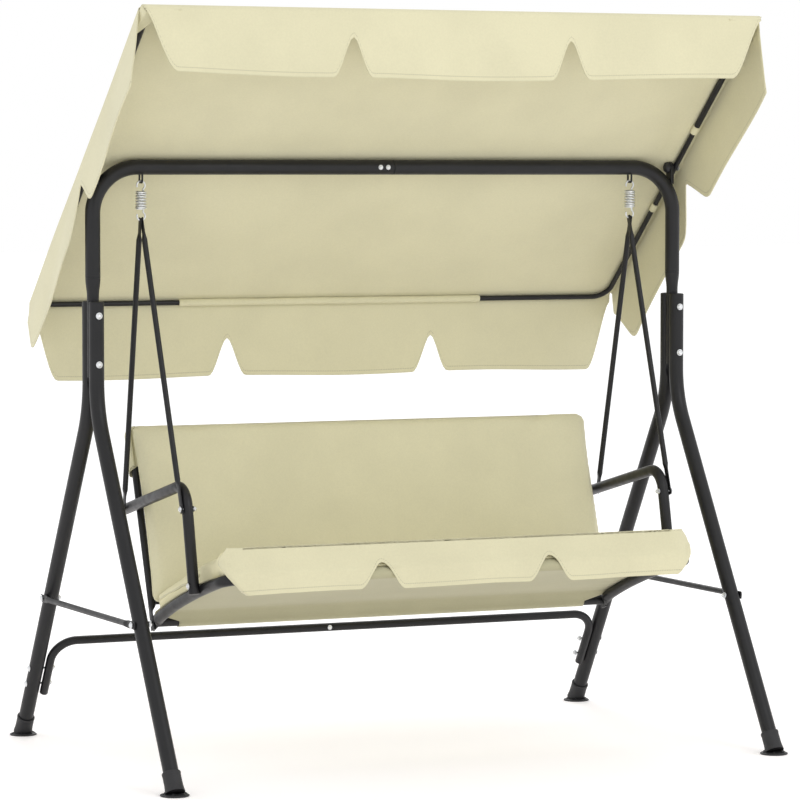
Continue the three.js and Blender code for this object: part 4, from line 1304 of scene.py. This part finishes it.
def build_piping():
    """Corded seams along the cushions' side edges, laid on the filled cloth."""
    graph = bpy.context.evaluated_depsgraph_get()
    lines = {
        "seat_pad": [[seat_curve(t / 40, lift) for t in range(6, 29)] for lift in (0.050, 0.042)],
        "back_pad": [[back_point(0, mix(0.075, 0.515, k / 40), 0.036) for k in range(41)]],
    }
    for pad, routes in lines.items():
        tree = BVHTree.FromObject(bpy.data.objects[pad], graph)
        shape = Shape()
        for sign in (1, -1):
            for route in routes:
                points = []
                for p in route:
                    hit = tree.find_nearest(Vector((sign * 0.70, p.y, p.z)))
                    points.append(hit[0] + hit[1] * 0.0003)
                shape.sweep(points, 0.0017, X * sign, sides=12)
        shape.piece(f"{pad}_piping", "seat_plain", "seat", "seat_cloth")


# ---------------------------------------------------------------- stage
def build_stage():
    floor = bpy.data.meshes.new("studio_floor")
    reach = 60.0
    corners = [(-reach, -reach, 0), (reach, -reach, 0), (reach, reach, 0), (-reach, reach, 0)]
    floor.from_pydata(corners, [], [(0, 1, 2, 3)])
    ground = bpy.data.objects.new("studio_floor", floor)
    ground.location.z = -0.0002
    bpy.context.scene.collection.objects.link(ground)
    paint, tree = start_material("studio_floor_painted")
    place = add(tree, "ShaderNodeTexCoord").outputs["Object"]
    base = linear(COLOURS.floor)
    tint = ramp(tree, noise_at(tree, place, 900), [(0.3, shade(base, 0.99)), (0.7, base)])
    reach = add(tree, "ShaderNodeVectorMath", {"operation": "LENGTH"}, i0=place).outputs["Value"]
    far = maths(tree, "SMOOTH_MIN", maths(tree, "MULTIPLY", maths(tree, "SUBTRACT", reach, 1.6), 0.4), 1.0)
    tint = blended(tree, "MIX", far, tint, (1.0, 1.0, 1.0, 1.0))
    end_material(
        tree, Base_Color=tint, Roughness=0.9, IOR=1.45, Emission_Color=(1, 1, 1, 1), Emission_Strength=0.16
    )
    floor.materials.append(paint)

    world = bpy.data.worlds.new("studio_light")
    bpy.context.scene.world = world
    world.use_nodes = True
    world.node_tree.nodes["Background"].inputs["Color"].default_value = (1.0, 1.0, 1.0, 1.0)
    world.node_tree.nodes["Background"].inputs["Strength"].default_value = 1.0

    def softbox(name, at, target, across, power):
        light = bpy.data.lights.new(name, "AREA")
        light.shape, light.size, light.energy = "SQUARE", across, power
        made = bpy.data.objects.new(name, light)
        made.location = at
        made.rotation_euler = (Vector(target) - Vector(at)).to_track_quat("-Z", "Y").to_euler()
        bpy.context.scene.collection.objects.link(made)

    softbox("key_softbox", (1.6, -6.0, 4.4), (0, 0, 0.9), 2.4, 62)
    softbox("fill_softbox", (-4.5, -3.5, 2.5), (0, 0, 0.8), 3.0, 6)
    softbox("rim_softbox", (1.5, 5.0, 4.2), (0, 0, 1.0), 2.6, 70)

    lens = bpy.data.cameras.new("camera")
    lens.lens, lens.sensor_width = 175.0, 36.0
    lens.clip_start, lens.clip_end = 0.1, 200
    camera = bpy.data.objects.new("camera", lens)
    camera.location = (-4.0965, -9.1173, 1.4731)
    camera.rotation_euler = (math.radians(90 - 3.327), 0, math.radians(-24.31))
    bpy.context.scene.collection.objects.link(camera)
    bpy.context.scene.camera = camera
    bpy.context.scene.view_settings.view_transform = "Standard"


# ---------------------------------------------------------------- operators and panel
def build_materials():
    MATERIALS["powder"] = powder_coated_steel("powder_coated_steel_satin_black", COLOURS.frame)
    MATERIALS["zinc"] = zinc_plated_steel("zinc_plated_steel_bright", COLOURS.zinc)
    MATERIALS["plastic"] = moulded_polypropylene("polypropylene_moulded_black", COLOURS.plastic)
    MATERIALS["canopy"] = woven_polyester("polyester_woven_canopy", COLOURS.cloth, stitched=True)
    MATERIALS["canopy_plain"] = woven_polyester("polyester_woven_canopy_trim", COLOURS.cloth)
    MATERIALS["seat"] = woven_polyester("polyester_woven_cushion", COLOURS.cloth)
    MATERIALS["seat_plain"] = woven_polyester("polyester_woven_seat_trim", COLOURS.cloth)
    # The sling is the same cream cloth; its colour #AEAA8B is darkened as painted shade, standing in for the shade
    # under the seat.
    MATERIALS["sling"] = woven_polyester("polyester_woven_sling_undyed", "#AEAA8B")
    MATERIALS["stitched"] = woven_polyester("polyester_woven_flap", COLOURS.cloth, stitched=True)


class SWING_OT_materials(bpy.types.Operator):
    """Make the finishes"""

    bl_idname = "swing.materials"
    bl_label = "Materials"

    def execute(self, context):
        build_materials()
        return {"FINISHED"}


class SWING_OT_legs(bpy.types.Operator):
    """Four bent leg tubes with plugged tops"""

    bl_idname = "swing.legs"
    bl_label = "Legs"

    def execute(self, context):
        build_legs()
        return {"FINISHED"}


class SWING_OT_feet(bpy.types.Operator):
    """Four moulded foot cups"""

    bl_idname = "swing.feet"
    bl_label = "Feet"

    def execute(self, context):
        build_feet()
        return {"FINISHED"}


class SWING_OT_top_bar(bpy.types.Operator):
    """Two halves of the top bar, their bolts and screws"""

    bl_idname = "swing.top_bar"
    bl_label = "Top bar"

    def execute(self, context):
        build_top_bar()
        return {"FINISHED"}


class SWING_OT_braces(bpy.types.Operator):
    """Flat-ended braces between the legs"""

    bl_idname = "swing.braces"
    bl_label = "Side braces"

    def execute(self, context):
        build_braces()
        return {"FINISHED"}


class SWING_OT_stretcher(bpy.types.Operator):
    """The tube between the rear legs"""

    bl_idname = "swing.stretcher"
    bl_label = "Rear stretcher"

    def execute(self, context):
        build_stretcher()
        return {"FINISHED"}


class SWING_OT_staples(bpy.types.Operator):
    """Wire staples under the bar"""

    bl_idname = "swing.staples"
    bl_label = "Spring staples"

    def execute(self, context):
        build_spring_mounts()
        return {"FINISHED"}


class SWING_OT_springs(bpy.types.Operator):
    """Two hooked coil springs"""

    bl_idname = "swing.springs"
    bl_label = "Springs"

    def execute(self, context):
        build_springs()
        return {"FINISHED"}


class SWING_OT_hangers(bpy.types.Operator):
    """Four hangers and their bolts"""

    bl_idname = "swing.hangers"
    bl_label = "Hangers"

    def execute(self, context):
        build_hangers()
        return {"FINISHED"}


class SWING_OT_seat_frame(bpy.types.Operator):
    """Side tubes and rails of the seat"""

    bl_idname = "swing.seat_frame"
    bl_label = "Seat frame"

    def execute(self, context):
        build_seat_frame()
        return {"FINISHED"}


class SWING_OT_arms(bpy.types.Operator):
    """Two armrests with their posts"""

    bl_idname = "swing.arms"
    bl_label = "Arms"

    def execute(self, context):
        build_arms()
        return {"FINISHED"}


class SWING_OT_back_frame(bpy.types.Operator):
    """The back's bent tube"""

    bl_idname = "swing.back_frame"
    bl_label = "Back frame"

    def execute(self, context):
        build_back_frame()
        return {"FINISHED"}


class SWING_OT_canopy_frame(bpy.types.Operator):
    """The canopy's four bent tubes"""

    bl_idname = "swing.canopy_frame"
    bl_label = "Canopy frame"

    def execute(self, context):
        build_canopy_frame()
        return {"FINISHED"}


class SWING_OT_brackets(bpy.types.Operator):
    """Plates that carry the canopy"""

    bl_idname = "swing.brackets"
    bl_label = "Canopy brackets"

    def execute(self, context):
        build_canopy_brackets()
        return {"FINISHED"}


class SWING_OT_knobs(bpy.types.Operator):
    """Hand knobs that hold the tilt"""

    bl_idname = "swing.knobs"
    bl_label = "Canopy knobs"

    def execute(self, context):
        build_knobs()
        return {"FINISHED"}


class SWING_OT_canopy(bpy.types.Operator):
    """The canopy's sheet and valances"""

    bl_idname = "swing.canopy"
    bl_label = "Canopy"

    def execute(self, context):
        build_canopy_cloth()
        return {"FINISHED"}


class SWING_OT_canopy_trim(bpy.types.Operator):
    """Tabs and the rear sleeve"""

    bl_idname = "swing.canopy_trim"
    bl_label = "Canopy trim"

    def execute(self, context):
        build_canopy_trim()
        return {"FINISHED"}


class SWING_OT_seat_pad(bpy.types.Operator):
    """The seat's filled cushion"""

    bl_idname = "swing.seat_pad"
    bl_label = "Seat cushion"

    def execute(self, context):
        build_seat_cushion()
        return {"FINISHED"}


class SWING_OT_back_pad(bpy.types.Operator):
    """The back's filled cushion"""

    bl_idname = "swing.back_pad"
    bl_label = "Back cushion"

    def execute(self, context):
        build_back_cushion()
        return {"FINISHED"}


class SWING_OT_flap(bpy.types.Operator):
    """The seat's scalloped flap"""

    bl_idname = "swing.flap"
    bl_label = "Front flap"

    def execute(self, context):
        build_front_flap()
        return {"FINISHED"}


class SWING_OT_sling(bpy.types.Operator):
    """The cloth under the cushion"""

    bl_idname = "swing.sling"
    bl_label = "Seat sling"

    def execute(self, context):
        build_sling()
        return {"FINISHED"}


class SWING_OT_pocket(bpy.types.Operator):
    """The pocket over the back frame"""

    bl_idname = "swing.pocket"
    bl_label = "Back pocket"

    def execute(self, context):
        build_back_pocket()
        return {"FINISHED"}


class SWING_OT_piping(bpy.types.Operator):
    """Corded seams of the cushions"""

    bl_idname = "swing.piping"
    bl_label = "Piping"

    def execute(self, context):
        build_piping()
        return {"FINISHED"}


class SWING_OT_stage(bpy.types.Operator):
    """Floor, lights and camera"""

    bl_idname = "swing.stage"
    bl_label = "Stage"

    def execute(self, context):
        build_stage()
        return {"FINISHED"}


OPERATORS = [
    SWING_OT_materials, SWING_OT_legs, SWING_OT_feet,
    SWING_OT_top_bar, SWING_OT_braces, SWING_OT_stretcher,
    SWING_OT_staples, SWING_OT_springs, SWING_OT_hangers,
    SWING_OT_seat_frame, SWING_OT_arms, SWING_OT_back_frame,
    SWING_OT_canopy_frame, SWING_OT_brackets, SWING_OT_knobs,
    SWING_OT_canopy, SWING_OT_canopy_trim, SWING_OT_seat_pad,
    SWING_OT_back_pad, SWING_OT_flap, SWING_OT_sling,
    SWING_OT_pocket, SWING_OT_piping, SWING_OT_stage,
]


class SWING_PT_panel(bpy.types.Panel):
    """Lists the steps that build the swing"""

    bl_label = "Garden swing"
    bl_space_type = "VIEW_3D"
    bl_region_type = "UI"
    bl_category = "Swing"

    def draw(self, context):
        for kind in OPERATORS:
            self.layout.operator(kind.bl_idname)


GROUPS = {"swing_tubes": TubeSizes, "swing_cloth": ClothSizes, "swing_colours": Colours}


def register():
    for kind in [*GROUPS.values(), *OPERATORS, SWING_PT_panel]:
        bpy.utils.register_class(kind)
    for name, kind in GROUPS.items():
        setattr(bpy.types.Scene, name, PointerProperty(type=kind))


def unregister():
    for name in GROUPS:
        delattr(bpy.types.Scene, name)
    for kind in reversed([*GROUPS.values(), *OPERATORS, SWING_PT_panel]):
        bpy.utils.unregister_class(kind)


def main():
    global TUBES, CLOTH, COLOURS
    register()
    scene = bpy.context.scene
    TUBES, CLOTH, COLOURS = scene.swing_tubes, scene.swing_cloth, scene.swing_colours
    for kind in OPERATORS:
        getattr(bpy.ops.swing, kind.bl_idname.split(".")[1])()
    bpy.context.view_layer.update()
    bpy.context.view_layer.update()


if __name__ == "__main__":
    main()
